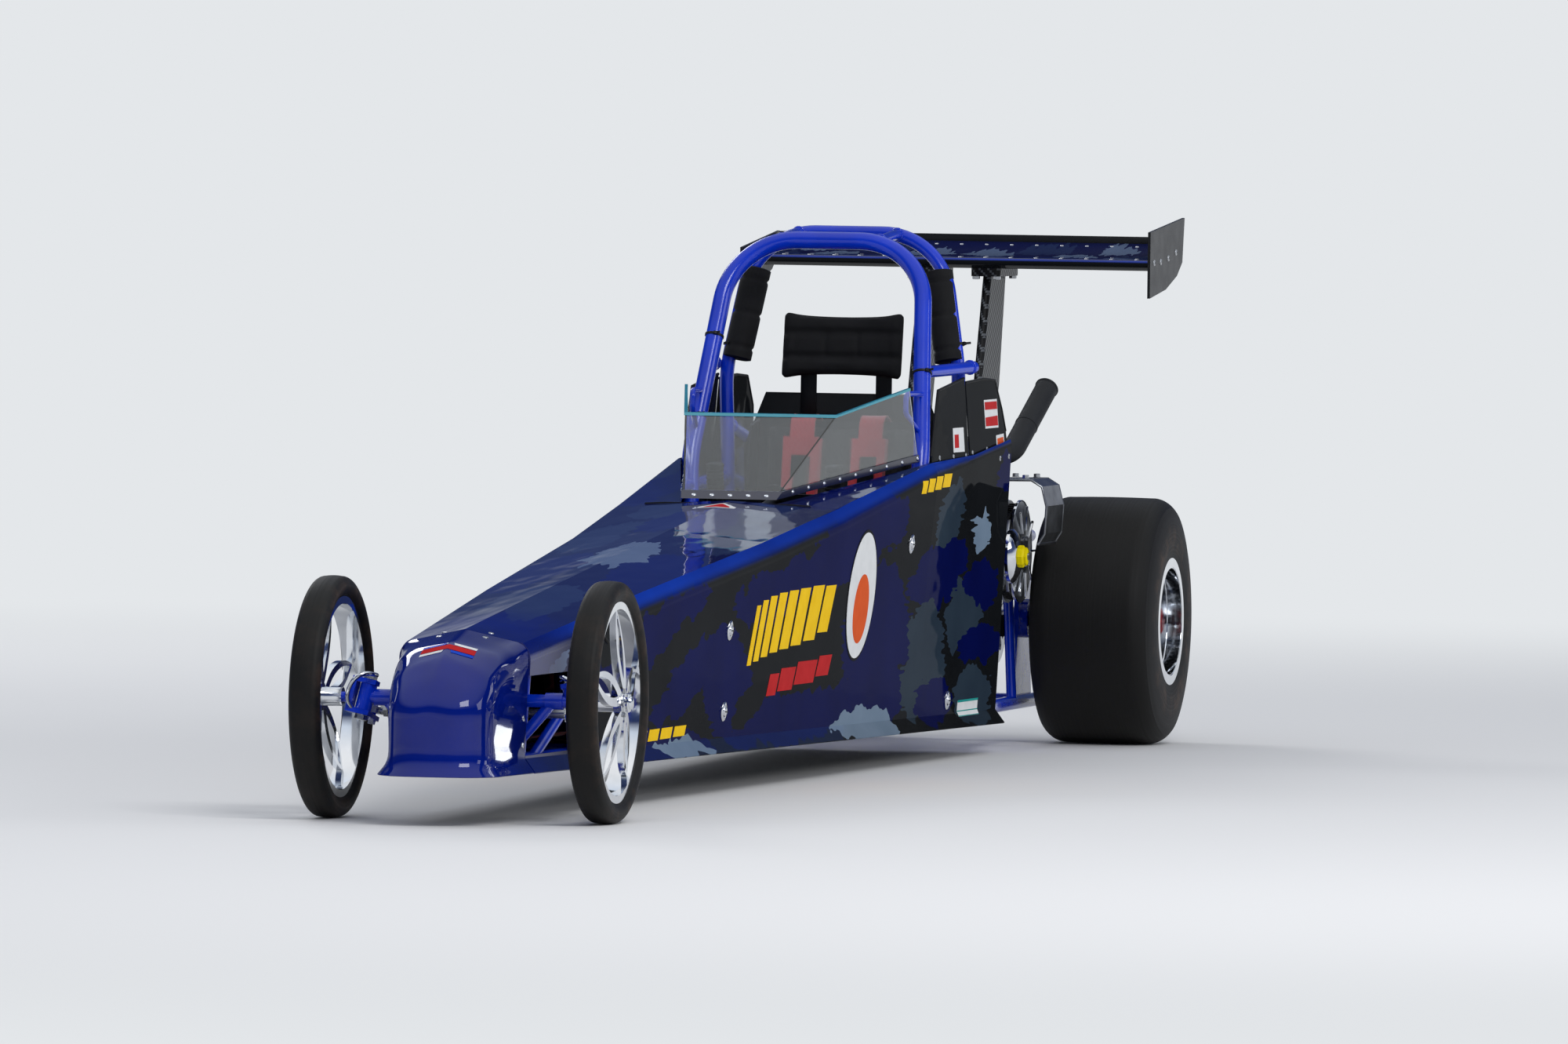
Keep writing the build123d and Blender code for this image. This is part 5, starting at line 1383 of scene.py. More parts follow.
        # ribbons: two narrowing tails each side of a knot, in three inks
        for name, finish, rows in (
            ("nose_bow_white", WHITE_FILM, (((3834, -46, -8), (3826, -46, -6)), ((3806, 8, 46), (3798, 6, 46)))),
            ("nose_bow_red", RED_FILM, (((3824, -46, 46), (3808, -46, 46)),)),
            ("nose_bow_blue", BLUE_FILM, (((3806, -46, -8), (3798, -46, -6)), ((3834, 8, 46), (3826, 6, 46)))),
        ):
            made = [self.film(name, "nose_skin", columns, 6, 0, 0.0, 0.0006) for columns in rows]
            self.hand_over(join(name, made), finish, "nose_blue")

    def buttons(self) -> None:
        """Sets the turn buttons that hold the sides on."""
        slot = round_box("button_slot", (0.0120, 0.0022, 0.0010), 0.0003, 1)
        slot.data.transform(Matrix.Translation((0, 0, 0.0056)))
        spots = [on_side("side_panels", station, z, side) for station, z in self.side_buttons for side in (1, -1)]
        profile = ((0, 0), (17.5, 0), (17.5, 1.2), (16, 2.6), (12, 3), (11.2, 1.8), (10, 1.8), (9, 4.2), (5, 5.8),
                   (0, 6.2))
        self.turned("panel_buttons", profile, 36, spots, POLISHED, "polished", angle=40.0)
        self.hand_over(repeat("button_slots", slot, spots), BLACK_STEEL, "black_steel")

    def rivets(self) -> None:
        """Rivets round the screen's flange, at the nose seam and along the fins."""
        spots = []
        front, back = place(1745, 84, 497), place(1160, 209, 553)
        steps = int((front - back).length / self.rivet_step)
        for step in range(steps + 1):
            spot = front.lerp(back, step / steps)
            for side in (1, -1):
                start = Vector((spot.x, side * (spot.y + 0.3), spot.z + 0.0))
                hit, found, normal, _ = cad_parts["screen_trim"].ray_cast(start, Vector((0, -side, 0)))
                if hit and normal.y * side > 0.3:
                    spots.append(facing(found, normal))
        for y in (-66, -33, 0, 33, 66):
            hit, found, normal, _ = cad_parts["screen_trim"].ray_cast(place(2000, y, 497), Vector((-1, 0, 0)))
            if hit:
                spots.append(facing(found, normal))
        profile = ((0, 0), (4.2, 0), (3.6, 1.2), (1.4, 1.9), (0, 1.6))
        self.turned("screen_rivets", profile, 12, spots, POLISHED, "polished", angle=60.0)
        spots = [on_side("side_panels", 3350, z, side) for z in (118, 196) for side in (1, -1)]
        spots += [on_side("nose_skin", 3716, z, side) for z in (130, 175) for side in (1, -1)]
        spots += [on_side("rear_fins", station, 556 + k, side) for k, station in ((0, 820), (4, 700), (8, 580))
                  for side in (1, -1)]
        spots += [on_side("shoulder_panels", station, 552, side) for station in (1060, 960, 870) for side in (1, -1)]
        spots += [on_side("side_panels", station, 540 + rise, side) for station, rise in ((545, 4), (620, 2))
                  for side in (1, -1)]
        for station, y in ((3720, 40), (3720, -40), (3680, 40), (3680, -40)):
            node = "nose_skin" if station > 3700 else "hood"
            found, normal = land(node, place(station, y, TOP_REACH), (0, 0, -1))
            spots.append(facing(found, normal))
        profile = ((0, 0), (5.2, 0), (4.6, 1), (1.8, 1.4), (1.8, 0.6), (0, 0.6))
        self.turned("panel_screws", profile, 14, spots, STEEL, "steel", angle=40.0)

    def cockpit_edge(self) -> None:
        """Rubber edging round the rear hood cut and along the fins' tops."""
        runs = []
        for side in (1, -1):
            runs.append([place(838, side * 228.7, 684), place(690, side * 230.7, 688), place(600, side * 231.7, 684),
                         place(545, side * 233.7, 630), place(527.5, side * 237.7, 590)])
            runs.append([place(1117, side * 228.2, 556), place(1062, side * 227.7, 674), place(851, side * 228.7, 692)])
        made = [bent_rod("panel_edging", run, 0.0028, 2, False) for run in runs]
        self.hand_over(join("panel_edging", made), RUBBER, "rubber")

    def build(self) -> None:
        """Dresses the panels and adds their fasteners and marks."""
        self.dress(BODY_WRAP, "side_panels", "shoulder_panels", "rear_fins", "hood", "nose_cone")
        self.dress(BLACK_PANEL, "belly_pan", "firewall", "dash_panel")
        self.dress(SCREEN, "windscreen")
        self.dress(SCREEN_EDGE, "screen_trim")
        self.nose()
        self.marks()
        self.buttons()
        self.rivets()
        self.cockpit_edge()


@dataclass
class Cockpit(Rider):
    """Seat, pads, harness, pedals, dash and steering wheel."""

    # seat cushions: start and end (station, z) on the shell, cut back at each end
    cushions: tuple[tuple[tuple[float, float], tuple[float, float], float, float], ...] = (
        ((1345, 138), (1060, 112), 6.0, 20.0),
        ((1060, 112), (900, 250), 18.0, 17.0),
        ((900, 250), (846, 610), 17.0, 6.0),
    )
    cushion_half: float = 140.0
    cushion_low: float = 7.5
    cushion_thick: float = 22.0
    strap_width: float = 0.045
    wheel_centre: Point = (1385, 0, 478)
    dash_back: float = 1752.0

    def stuffed(self, name: str, corners: Sequence[Vector], thickness: float, cap: float, voxel: float = 0.0055,
                pressure: float = 4.0) -> Object:
        """Cushion swollen by a cloth simulation inside a capped distance.

        Args:
            name: Name of the cushion.
            corners: Its four lower corners, going round.
            thickness: Height of the unswollen block along the corners' normal, in metres.
            cap: Farthest that any point may move, in metres.
            voxel: Size of the remeshed faces in metres.
            pressure: Gas pressure of the cloth.

        Returns:
            The cushion, in place.
        """
        axis_x = (corners[1] - corners[0]).normalized()
        normal = axis_x.cross(corners[2] - corners[1]).normalized()
        axis_y = normal.cross(axis_x)
        half_x = (corners[1] - corners[0]).length / 2
        half_y = (corners[2] - corners[1]).length / 2
        block = round_box(name, (2 * half_x, 2 * half_y, thickness), min(0.012, thickness * 0.4), 3)
        centre = sum(corners, Vector()) / 4
        turn = Matrix((axis_x, axis_y, normal)).transposed().to_4x4()
        modify(block, "REMESH", mode="VOXEL", voxel_size=voxel)
        start = [vertex.co.copy() for vertex in block.data.vertices]
        cover = block.modifiers.new("cover", "CLOTH")
        cover.settings.use_pressure = True
        cover.settings.uniform_pressure_force = pressure
        cover.settings.effector_weights.gravity = 0.0
        cover.settings.tension_stiffness = 25.0
        cover.settings.compression_stiffness = 25.0
        cover.point_cache.frame_start = 1
        cover.point_cache.frame_end = 20
        scene = bpy.context.scene
        for step in range(1, 21):
            scene.frame_set(step)
        swollen = block.evaluated_get(bpy.context.evaluated_depsgraph_get()).to_mesh()
        ends = [vertex.co.copy() for vertex in swollen.vertices]
        block.evaluated_get(bpy.context.evaluated_depsgraph_get()).to_mesh_clear()
        block.modifiers.remove(cover)
        for vertex, before, after in zip(block.data.vertices, start, ends):
            move = after - before
            if move.length > cap:
                move = move.normalized() * cap
            vertex.co = before + move
        scene.frame_set(1)
        self.sew(block, half_x, half_y, thickness)
        modify(block, "SUBSURF", levels=1, render_levels=1)
        bpy.ops.object.shade_smooth()
        block.data.transform(Matrix.Translation(centre) @ turn)
        return block

    @staticmethod
    def sew(block: Object, half_x: float, half_y: float, thickness: float) -> None:
        """Pulls sewn channels into a cushion's face, and its piped edge in between its corners."""
        channels = (-half_y * 0.36, half_y * 0.36)
        for vertex in block.data.vertices:
            x, y, z = vertex.co
            top = max(0.0, min(1.0, (z - thickness * 0.4) / (thickness * 0.6)))
            dent = sum(math.exp(-((y - line) / 0.0055) ** 2) for line in channels)
            ribs = math.exp(-(((x / half_x) * 2.0) % 1.0 - 0.5) ** 2 / 0.0016)
            inner = 1.0 if abs(y) < half_y * 0.36 else 0.0
            vertex.co.z = z - top * (0.007 * min(dent, 1.0) + 0.005 * ribs * inner)
            pull = 0.004 * (1 - (x / half_x) ** 2)
            if abs(y) > half_y * 0.8:
                vertex.co.y -= math.copysign(pull, y)

    def pads(self) -> None:
        """Makes the three seat cushions, the head pad and the hoop sleeves."""
        made = []
        for index, (start, end, trim_start, trim_end) in enumerate(self.cushions):
            run = Vector((end[0] - start[0], 0, end[1] - start[1])).normalized()
            up = Vector((run.z, 0, -run.x))
            low = self.cushion_low
            ends = []
            for (station, z), shift in ((start, trim_start), (end, -trim_end)):
                ends.append(Vector((station, 0, z)) + run * shift + up * low)
            corners = []
            for spot, y in ((ends[0], self.cushion_half), (ends[1], self.cushion_half), (ends[1], -self.cushion_half),
                            (ends[0], -self.cushion_half)):
                corners.append(place(spot.x, y, spot.z))
            corners.reverse()
            made.append(self.stuffed(f"seat_cushion_{index}", corners, self.cushion_thick / 1000, 0.005))
        seat = join("seat_cushions", made)
        self.hand_over(seat, PAD_CLOTH, "pad", replaces=("seat_pads",))
        lean = Vector((-0.2, 0, 1)).normalized()
        facing_back = [place(826, y, z) for y, z in ((116, 684), (-116, 684), (-116, 806), (116, 806))]
        middle = 0.745
        leaning = [spot + Vector((lean.x * (spot.z - middle), 0, 0)) for spot in facing_back]
        head = self.stuffed("head_pad", list(reversed(leaning)), 0.020, 0.005)
        sleeves = []
        for side in (1, -1):
            foot = place(834, side * 198, 720)
            top = place(803, side * 169, 885)
            length = (top - foot).length
            rings = 34
            profile = [(0.0, 0.0), (0.020, 0.0)]
            for step in range(rings + 1):
                share = step / rings
                pinch = sum(math.exp(-((share - tie) / 0.018) ** 2) for tie in (0.12, 0.5, 0.88))
                profile.append((0.0262 - 0.003 * pinch, 0.002 + share * (length - 0.004)))
            profile += [(0.020, length), (0.0, length)]
            sleeve = finish_mesh(lathe("hoop_sleeve", profile, 28), 60.0)
            sleeve.data.transform(facing(foot, top - foot))
            sleeves.append(sleeve)
        sleeves.append(head)
        foam = join("cage_foam", sleeves)
        self.hand_over(foam, FOAM, "pad", replaces=("cage_pads",))

    def ribbon(self, name: str, points: Sequence[Vector], across: Sequence[float], width: float,
               thickness: float = 0.003, edge: float = 0.0008) -> Object:
        """Flat webbing along a smooth line.

        Args:
            name: Name of the strap.
            points: Points along its middle.
            across: Direction of its width.
            width: Its width in metres.
            thickness: Its thickness in metres.
            edge: How far its selvedges roll down, in metres.

        Returns:
            The strap, in place.
        """
        guide = bent_rod(name + "_guide", points, 0.0)
        line = [vertex.co.copy() for vertex in guide.data.vertices]
        bpy.data.objects.remove(guide)
        span = Vector(across).normalized()
        rows = 6

        def spot_of(step: int, row: int) -> Vector:
            share = row / rows - 0.5
            ahead = line[min(step + 1, len(line) - 1)] - line[max(step - 1, 0)]
            face = span.cross(ahead).normalized()
            return line[step] + span * (width * share) - face * (edge * abs(2 * share) ** 4)

        strap = modify(sheet(name, len(line) - 1, rows, spot_of), "SOLIDIFY", thickness=thickness, offset=0.0)
        return finish_mesh(face_outwards(strap), 50.0)

    def straps(self) -> None:
        """Makes the harness with its cushioned shoulders, slides and cam lock."""
        made, sleeves, patches, slides = [], [], [], []
        for side in (1, -1):
            route = [(806, 62, 604), (840, 62, 622), (872, 62, 618), (886, 62, 600), (908, 62, 455), (930, 62, 316),
                     (946, 58, 270), (1010, 44, 214), (1070, 34, 176), (1110, 26, 165)]
            points = [place(station, side * y, z) for station, y, z in route]
            made.append(self.ribbon("harness", points, (0, 1, 0), self.strap_width))
            pad = [place(station, side * 62, z) for station, z in ((893, 580), (903, 520), (915, 444), (927, 366))]
            sleeves.append(self.ribbon("shoulder_sleeve", pad, (0, 1, 0), 0.066, 0.011, 0.004))
            patch = [place(station, side * 62, z) for station, z in ((906, 548), (914, 500), (923, 440))]
            patches.append(self.ribbon("sleeve_patch", patch, (0, 1, 0), 0.030, 0.0025, 0.001))
            slide = round_box("slide", (0.056, 0.030, 0.004), 0.0012, 2)
            slides.append(copies(slide, [facing(place(937, side * 60, 296), (0.985, 0, 0.17), 90)])[0])
        lap = [(1140, 146, 128), (1139, 138, 150), (1138, 118, 161), (1137, 60, 162), (1137, 0, 163), (1137, -60, 162),
               (1138, -118, 161), (1139, -138, 150), (1140, -146, 128)]
        made.append(self.ribbon("lap_strap", [place(*spot) for spot in lap], (1, 0, -0.09), self.strap_width))
        path = ((1150, 166), (1200, 166), (1250, 170), (1290, 172), (1320, 160))
        crotch = [place(station, 0, z) for station, z in path]
        made.append(self.ribbon("crotch_strap", crotch, (0, 1, 0), self.strap_width))
        self.hand_over(join("harness_webbing", made), WEBBING, "webbing", replaces=("harness",))
        sleeve = join("shoulder_sleeves", sleeves)
        self.hand_over(sleeve, WEBBING, "webbing")
        self.hand_over(join("sleeve_patches", patches), BLACK_FILM, "webbing")
        for y in (96, -96):
            slide = round_box("slide", (0.056, 0.030, 0.004), 0.0012, 2)
            slides.append(copies(slide, [facing(place(1137.5, y, 164.0), (-0.09, 0, 1), 0)])[0])
        self.hand_over(join("strap_slides", slides), STEEL, "steel")
        base = facing(place(1128, 0, 166), (-0.09, 0, 1))
        profile = ((0, 0), (31, 0), (33, 3), (33, 10), (29, 14), (20, 15), (19, 13), (0, 13))
        self.turned("cam_lock", profile, 40, [base], BLACK_STEEL, "steel", angle=35.0)
        handle = round_box("cam_handle", (0.036, 0.010, 0.006), 0.002, 3)
        handle.data.transform(base @ Matrix.Translation((0, 0, 0.013)) @ Matrix.Rotation(0.6, 4, "Z"))
        self.hand_over(handle, RED_FILM, "webbing")

    def wheel_frame(self) -> Matrix:
        """Placement of the steering wheel: local X to the car's left, local Z to the driver."""
        back = Vector((-0.99238, 0, 0.12317)).normalized()
        left = Vector((0, 1, 0))
        down = back.cross(left)
        return Matrix.Translation(place(*self.wheel_centre)) @ Matrix((left, down, back)).transposed().to_4x4()

    def steering(self) -> None:
        """Adds the grips, buttons, bolts and quick-release collar of the steering wheel."""
        body = "steering_wheel_body"
        seat = self.wheel_frame()
        profile = [(0.0, -0.066), (0.0135, -0.066), (0.0162, -0.0635), (0.0162, -0.060)]
        for step in range(17):
            height = -0.056 + step * 0.007
            profile += [(0.0150, height), (0.0158, height + 0.0012), (0.0158, height + 0.0040),
                        (0.0150, height + 0.0052)]
        profile += [(0.0162, 0.0635), (0.0135, 0.066), (0.0, 0.066)]
        grip = finish_mesh(lathe("wheel_grips", profile, 24), 30.0)
        upright = Matrix.Rotation(math.radians(-90), 4, "X")
        spots = [seat @ Matrix.Translation((x, 0, 0.0025)) @ upright for x in (-0.108, 0.108)]
        self.hand_over(repeat("wheel_grips", grip, spots), RUBBER, "rubber", body)
        hub_face = seat @ Matrix.Translation((0, 0, 0.005))
        spots = [hub_face @ spot for spot in ring_of(6, 0.0235, 0.0, 30)]
        profile = ((0, 0), (4.2, 0), (4.2, 4), (3.4, 4.6), (2.2, 4.6), (2.2, 2), (0, 2))
        self.turned("hub_screws", profile, 16, spots, STEEL, "steel", body)
        profile = ((0, -1), (21.5, -1), (22.5, 1), (22.5, 3), (20.5, 4), (20.5, 10), (22.5, 11), (22.5, 13), (19, 15.5),
                   (0, 15.5))
        self.turned("release_collar", profile, 36, [hub_face], RED_ANODISED, "steel", body)
        spots = [hub_face @ Matrix.Translation((x, 0, 0)) for x in (-0.062, 0.062)]
        profile = ((0, 0), (8.5, 0), (8.5, 3), (6.6, 3.6), (6.2, 6.4), (5, 7.2), (0, 7.5))
        self.turned("wheel_buttons", profile, 20, spots, RED_FILM, "rubber", body, 35.0)

    def dash(self) -> None:
        """Adds a gauge, toggles and a stop knob to the dash panel's rear face."""
        back = (-1, 0, 0)
        gauge = facing(place(self.dash_back, 92, 441), back)
        profile = ((0, 0), (36, 0), (36, 18), (34, 21), (31, 21), (30, 17), (0, 17))
        self.turned("gauge_bezel", profile, 48, [gauge], BLACK_STEEL, "black_steel")
        tick = round_box("gauge_ticks", (0.0045, 0.0011, 0.0005), 0.0001, 1)
        face = facing(place(self.dash_back - 17, 92, 441), back)
        marks = [face @ spot for spot in ring_of(28, 0.0255, 0.0, 100)[:22]]
        self.hand_over(repeat("gauge_ticks", tick, marks), WHITE_FILM, "panel_black")
        hand = slab("gauge_hand", ((-0.006, -0.0012), (0.022, -0.0003), (0.022, 0.0003), (-0.006, 0.0012)), 0.0006)
        hand.data.transform(face @ Matrix.Translation((0, 0, 0.001)) @ Matrix.Rotation(2.2, 4, "Z"))
        self.hand_over(finish_mesh(hand), RED_FILM, "panel_black")
        toggle = join("dash_toggles", [
            lathe("toggle_nut", ((0, 0), (0.0075, 0), (0.0075, 0.003), (0.005, 0.0042), (0, 0.0042)), 6),
            lathe("toggle_lever", ((0, 0.003), (0.0016, 0.003), (0.0026, 0.018), (0.0016, 0.020), (0, 0.020)), 12),
        ])
        spots = [facing(place(self.dash_back, y, 436), (-1, 0, 0.3)) for y in (-70, -98, -126)]
        self.hand_over(repeat("dash_toggles", finish_mesh(toggle, 30.0), spots), STEEL, "steel")
        spots = [facing(place(self.dash_back, -98, 462), back)]
        profile = ((0, 0), (6, 0), (6, 10), (16, 12), (17, 17), (12, 21), (0, 22))
        self.turned("stop_knob", profile, 28, spots, RED_FILM, "panel_black", angle=40.0)

    def foot_pads(self) -> None:
        """Lays ribbed rubber on both pedals."""
        parts = [round_box("pad_base", (0.058, 0.070, 0.003), 0.001, 2)]
        for k in range(7):
            rib = round_box("pad_rib", (0.050, 0.0045, 0.0022), 0.0008, 2)
            rib.data.transform(Matrix.Translation((0, -0.027 + 0.009 * k, 0.003)))
            parts.append(rib)
        pad = join("pedal_rubbers", parts)
        back = Vector((-0.970, 0, 0.2425)).normalized()
        left = Vector((0, 1, 0))
        turn = Matrix((left, back.cross(left), back)).transposed().to_4x4()
        spots = [Matrix.Translation(place(2223.8, y, 209.8)) @ turn for y in (62, -62)]
        self.hand_over(repeat("pedal_rubbers", pad, spots), RUBBER, "rubber")

    def build(self) -> None:
        """Dresses the cockpit and fills it."""
        self.dress(BLACK_PANEL, "seat_shell")
        self.dress(STEEL, "pedals")
        self.dress(BLACK_STEEL, "steering_wheel")
        self.pads()
        self.straps()
        self.steering()
        self.dash()
        self.foot_pads()
        bracket = round_box("head_pad_brackets", (0.003, 0.030, 0.130), 0.001, 2)
        spots = [Matrix.Translation(place(803.5, y, 622)) @ Matrix.Rotation(-0.012, 4, "Y") for y in (-70, 70)]
        self.hand_over(repeat("head_pad_brackets", bracket, spots), BLACK_STEEL, "steel")
        spots = [facing(place(802, y, z), (1, 0, 0)) for y in (-165, 165) for z in (120, 300, 470, 560)]
        self.bolts("firewall_bolts", 0.013, 0.006, spots)


@dataclass
class FrontEnd(Rider):
    """Front axle, knuckles, tie rod and wheels with their nuts, valves and caps."""

    wheel_y: float = 237.5
    kingpin: Point = (3665, 178, 203)
    rack: Point = (3583, 0, 178.92)
    kingpin_axis: Point = (-0.15455, -0.20541, 0.96639)
    tie_pin: Point = (3582, 187, 164.42)

    def hub_frame(self, out: float) -> Matrix:
        """Placement on the left axle, millimetres out from the wheel's middle, with local Z outwards."""
        station, _, z = self.kingpin
        return facing(place(station, self.wheel_y + out, z), (0, 1, 0))

    def wheels(self) -> None:
        """Adds the caps, valves and hub rings of the front wheels."""
        cap = lathe("hub_cap", ((0, 0), (0.0162, 0), (0.0162, 0.004), (0.0145, 0.006), (0.0120, 0.0065),
                                (0.0105, 0.0095), (0.0060, 0.0115), (0, 0.012)), 32)
        ring = hoop_ring("hub_ring", 0.0160, 0.006, 0.0030, 36)
        nut = hex_head("hub_bolt", 0.008, 0.004)
        bodies = ("front_left_wheel", "front_right_wheel")
        cap.data.transform(self.hub_frame(33))
        ring.data.transform(self.hub_frame(30))
        bolts = copies(nut, [self.hub_frame(28.5) @ spot for spot in ring_of(5, 0.0205, 0, 36)])
        trim = join("front_hub_trim_left", [finish_mesh(cap, 30.0), ring])
        self.pair(trim, POLISHED, "polished", bodies)
        self.pair(join("front_hub_bolts_left", bolts), STEEL, "steel", bodies)
        valve = lathe("front_valve_left", ((0, 0), (0.0035, 0), (0.0030, 0.010), (0.0024, 0.012), (0.0024, 0.024),
                                           (0.0034, 0.025), (0.0034, 0.032), (0.0026, 0.034), (0, 0.034)), 16)
        station, _, z = self.kingpin
        valve.data.transform(facing(place(station + 90, self.wheel_y + 4, z + 127), (-0.5, 0.35, -0.7)))
        self.pair(finish_mesh(valve, 30.0), BLACK_NYLON, "rubber", bodies)

    def knuckles(self) -> None:
        """Adds kingpin nuts, tie-pin nuts and the bright stay over each hub."""
        pin = Vector(self.kingpin_axis).normalized()
        spot = place(*self.kingpin)
        nut = hex_head("kingpin_nut", 0.019, 0.008)
        nuts = copies(nut, [facing(spot + pin * 0.0303, pin), facing(spot - pin * 0.0303, -pin)])
        tie_nut = hex_head("tie_nut", 0.011, 0.006)
        arm = place(*self.tie_pin)
        nuts += copies(tie_nut, [facing(arm - pin * 0.004, -pin)])
        bodies = ("knuckle_left_body", "knuckle_right_body")
        self.pair(join("knuckle_nuts_left", nuts), STEEL, "steel", bodies)
        stay = bent_rod("hub_stay_left", [place(*p) for p in ((3672, 158, 240), (3700, 166, 246), (3712, 186, 238),
                                                             (3704, 200, 216), (3690, 204, 196), (3676, 198, 184))],
                        0.004, 3)
        self.pair(stay, POLISHED, "steel", bodies)

    def rods(self) -> None:
        """Adds jam nuts to the tie rod, and end caps to the rack housing."""
        body = "tie_rod_body"
        spots = [facing(place(self.rack[0], y, self.rack[2]), (0, 1, 0)) for y in (146, 158)]
        self.bolts("rod_jam_nuts", 0.022, 0.008, both_sides(spots), body)
        spots = both_sides([facing(place(self.rack[0], 44, self.rack[2]), (0, 1, 0))])
        profile = ((0, 0), (20.5, 0), (20.5, 6), (17, 9), (0, 9))
        self.turned("rack_end_caps", profile, 32, spots, BLACK_STEEL, "black_steel", angle=40.0)

    def build(self) -> None:
        """Dresses the front end and adds its small pieces."""
        self.dress(FRAME_BLUE, "front_axle", "knuckle_left", "knuckle_right")
        self.dress(STEEL, "tie_rod")
        self.dress(SPUN, "front_wheel_left", "front_wheel_right")
        self.dress(FRONT_RUBBER, "front_tyre_left", "front_tyre_right")
        self.wheels()
        self.knuckles()
        self.rods()


@dataclass
class RearEnd(Rider):
    """Rear axle, wheels, brake and chain, with bolts, links and teeth."""

    body: str = "rear_axle_body"
    axle_z: float = 229.0
    web_y: float = 360.0
    link_count: int = 74
    chain_y: float = -112.0
    # pitch circles of the chain: station, z, radius
    jack: Point = (222.0, 360.0, 32.0)
    axle: Point = (0.0, 229.0, 94.0)

    def hub_frame(self, y: float) -> Matrix:
        """Placement on the rear axle with local Z to the car's left."""
        return facing(place(0, y, self.axle_z), (0, 1, 0))

    def wheel_trim(self) -> None:
        """Adds rim bolts, wheel nuts, centre nuts, bead rings and valves on both sides."""
        spots = both_sides([self.hub_frame(self.web_y) @ spot for spot in ring_of(15, 0.0935)])
        self.bolts("rim_bolts", 0.010, 0.005, spots)
        spots = both_sides([self.hub_frame(self.web_y) @ spot for spot in ring_of(5, 0.0535, 0.0, 36)])
        self.bolts("wheel_nuts", 0.019, 0.014, spots)
        centre = hex_head("centre_nuts", 0.040, 0.016)
        spots = both_sides([self.hub_frame(371)])
        self.hand_over(repeat("centre_nuts", centre, spots), RED_ANODISED, "steel")
        rings = []
        steps = ((439, 0.0990, 0.010), (414, 0.0975, 0.006), (388, 0.0960, 0.008), (366, 0.0985, 0.008))
        for y, radius, width in steps:
            ring = hoop_ring("dish_ring", radius, width, 0.1013 - radius, 64)
            ring.data.transform(self.hub_frame(y))
            rings.append(ring)
        left = join("dish_rings", rings)
        self.hand_over(join("dish_rings", [left, mirrored(left, "dish_right")]), SPUN, "polished")
        spots = both_sides([facing(place(71, 401, self.axle_z + 71), (-0.45, 0.75, -0.45))])
        profile = ((0, 0), (3.5, 0), (3, 10), (2.4, 12), (2.4, 24), (3.4, 25), (3.4, 32), (2.6, 34), (0, 34))
        self.turned("rear_valves", profile, 16, spots, BLACK_NYLON, "rubber")

    def loop_point(self, travel: float) -> Vector:
        """Point on the chain's pitch line, in metres, at a distance along it in millimetres."""
        lean, wrap, runs = self.loop_runs()
        turns = (lean + wrap, lean - wrap, lean - wrap, lean + wrap)
        circles = (self.jack, self.jack, self.axle, self.axle)
        curved = (True, False, True, False)
        for length, turn, circle, bends in zip(runs, turns, circles, curved):
            if travel <= length:
                break
            travel -= length
        else:
            travel += length
        if bends:
            turn += travel / circle[2]
            travel = 0.0
        way = Vector((-math.sin(turn), math.cos(turn)))
        spot = Vector((circle[0] + circle[2] * math.cos(turn), circle[1] + circle[2] * math.sin(turn))) + way * travel
        return place(spot.x, self.chain_y, spot.y)

    def loop_runs(self) -> tuple[float, float, tuple[float, float, float, float]]:
        """Lean of the line between the sprockets, the angle to a tangent point, and the chain's four runs."""
        ends = Vector((self.axle[0] - self.jack[0], self.axle[1] - self.jack[1]))
        wrap = math.acos((self.jack[2] - self.axle[2]) / ends.length)
        straight = math.sqrt(ends.length ** 2 - (self.axle[2] - self.jack[2]) ** 2)
        small, large = 2 * (math.pi - wrap) * self.jack[2], 2 * (math.pi - wrap) * self.axle[2]
        return math.atan2(ends.y, ends.x), wrap, (small, straight, large, straight)

    def chain(self) -> None:
        """Makes the roller chain link by link along its pitch line."""
        total = sum(self.loop_runs()[2])
        pitch = total / self.link_count
        half = pitch / 2000
        waist = [(half + 0.0042 * math.cos(turn), 0.0042 * math.sin(turn)) for turn in (-1.2, -0.4, 0.4, 1.2)]
        outline = waist + [(0.0, 0.0028)] + [(-x, y) for x, y in reversed(waist)] + [(0.0, -0.0028)]
        plate = slab("link_plate", outline, 0.0011)
        roller = lathe("link_roller", ((0, -0.0045), (0.0019, -0.0045), (0.0019, -0.0028), (0.0036, -0.0028),
                                       (0.0036, 0.0028), (0.0019, 0.0028), (0.0019, 0.0045), (0, 0.0045)), 8)
        made = []
        for index in range(self.link_count):
            start = self.loop_point(index * pitch)
            end = self.loop_point(((index + 1) * pitch) % total)
            way = (end - start).normalized()
            side = Vector((0, 1, 0))
            turn = Matrix((way, side.cross(way), side)).transposed().to_4x4()
            middle = Matrix.Translation((start + end) / 2) @ turn
            shift = 0.0028 if index % 2 else 0.0040
            made += copies(plate, [middle @ Matrix.Translation((0, 0, shift)),
                                   middle @ Matrix.Translation((0, 0, -shift - 0.0011))], keep_master=True)
            made += copies(roller, [Matrix.Translation(start) @ turn], keep_master=True)
        bpy.data.objects.remove(plate)
        bpy.data.objects.remove(roller)
        self.hand_over(finish_mesh(join("roller_chain", made), 30.0), STEEL, "steel", "chassis", ("drive_chain",))

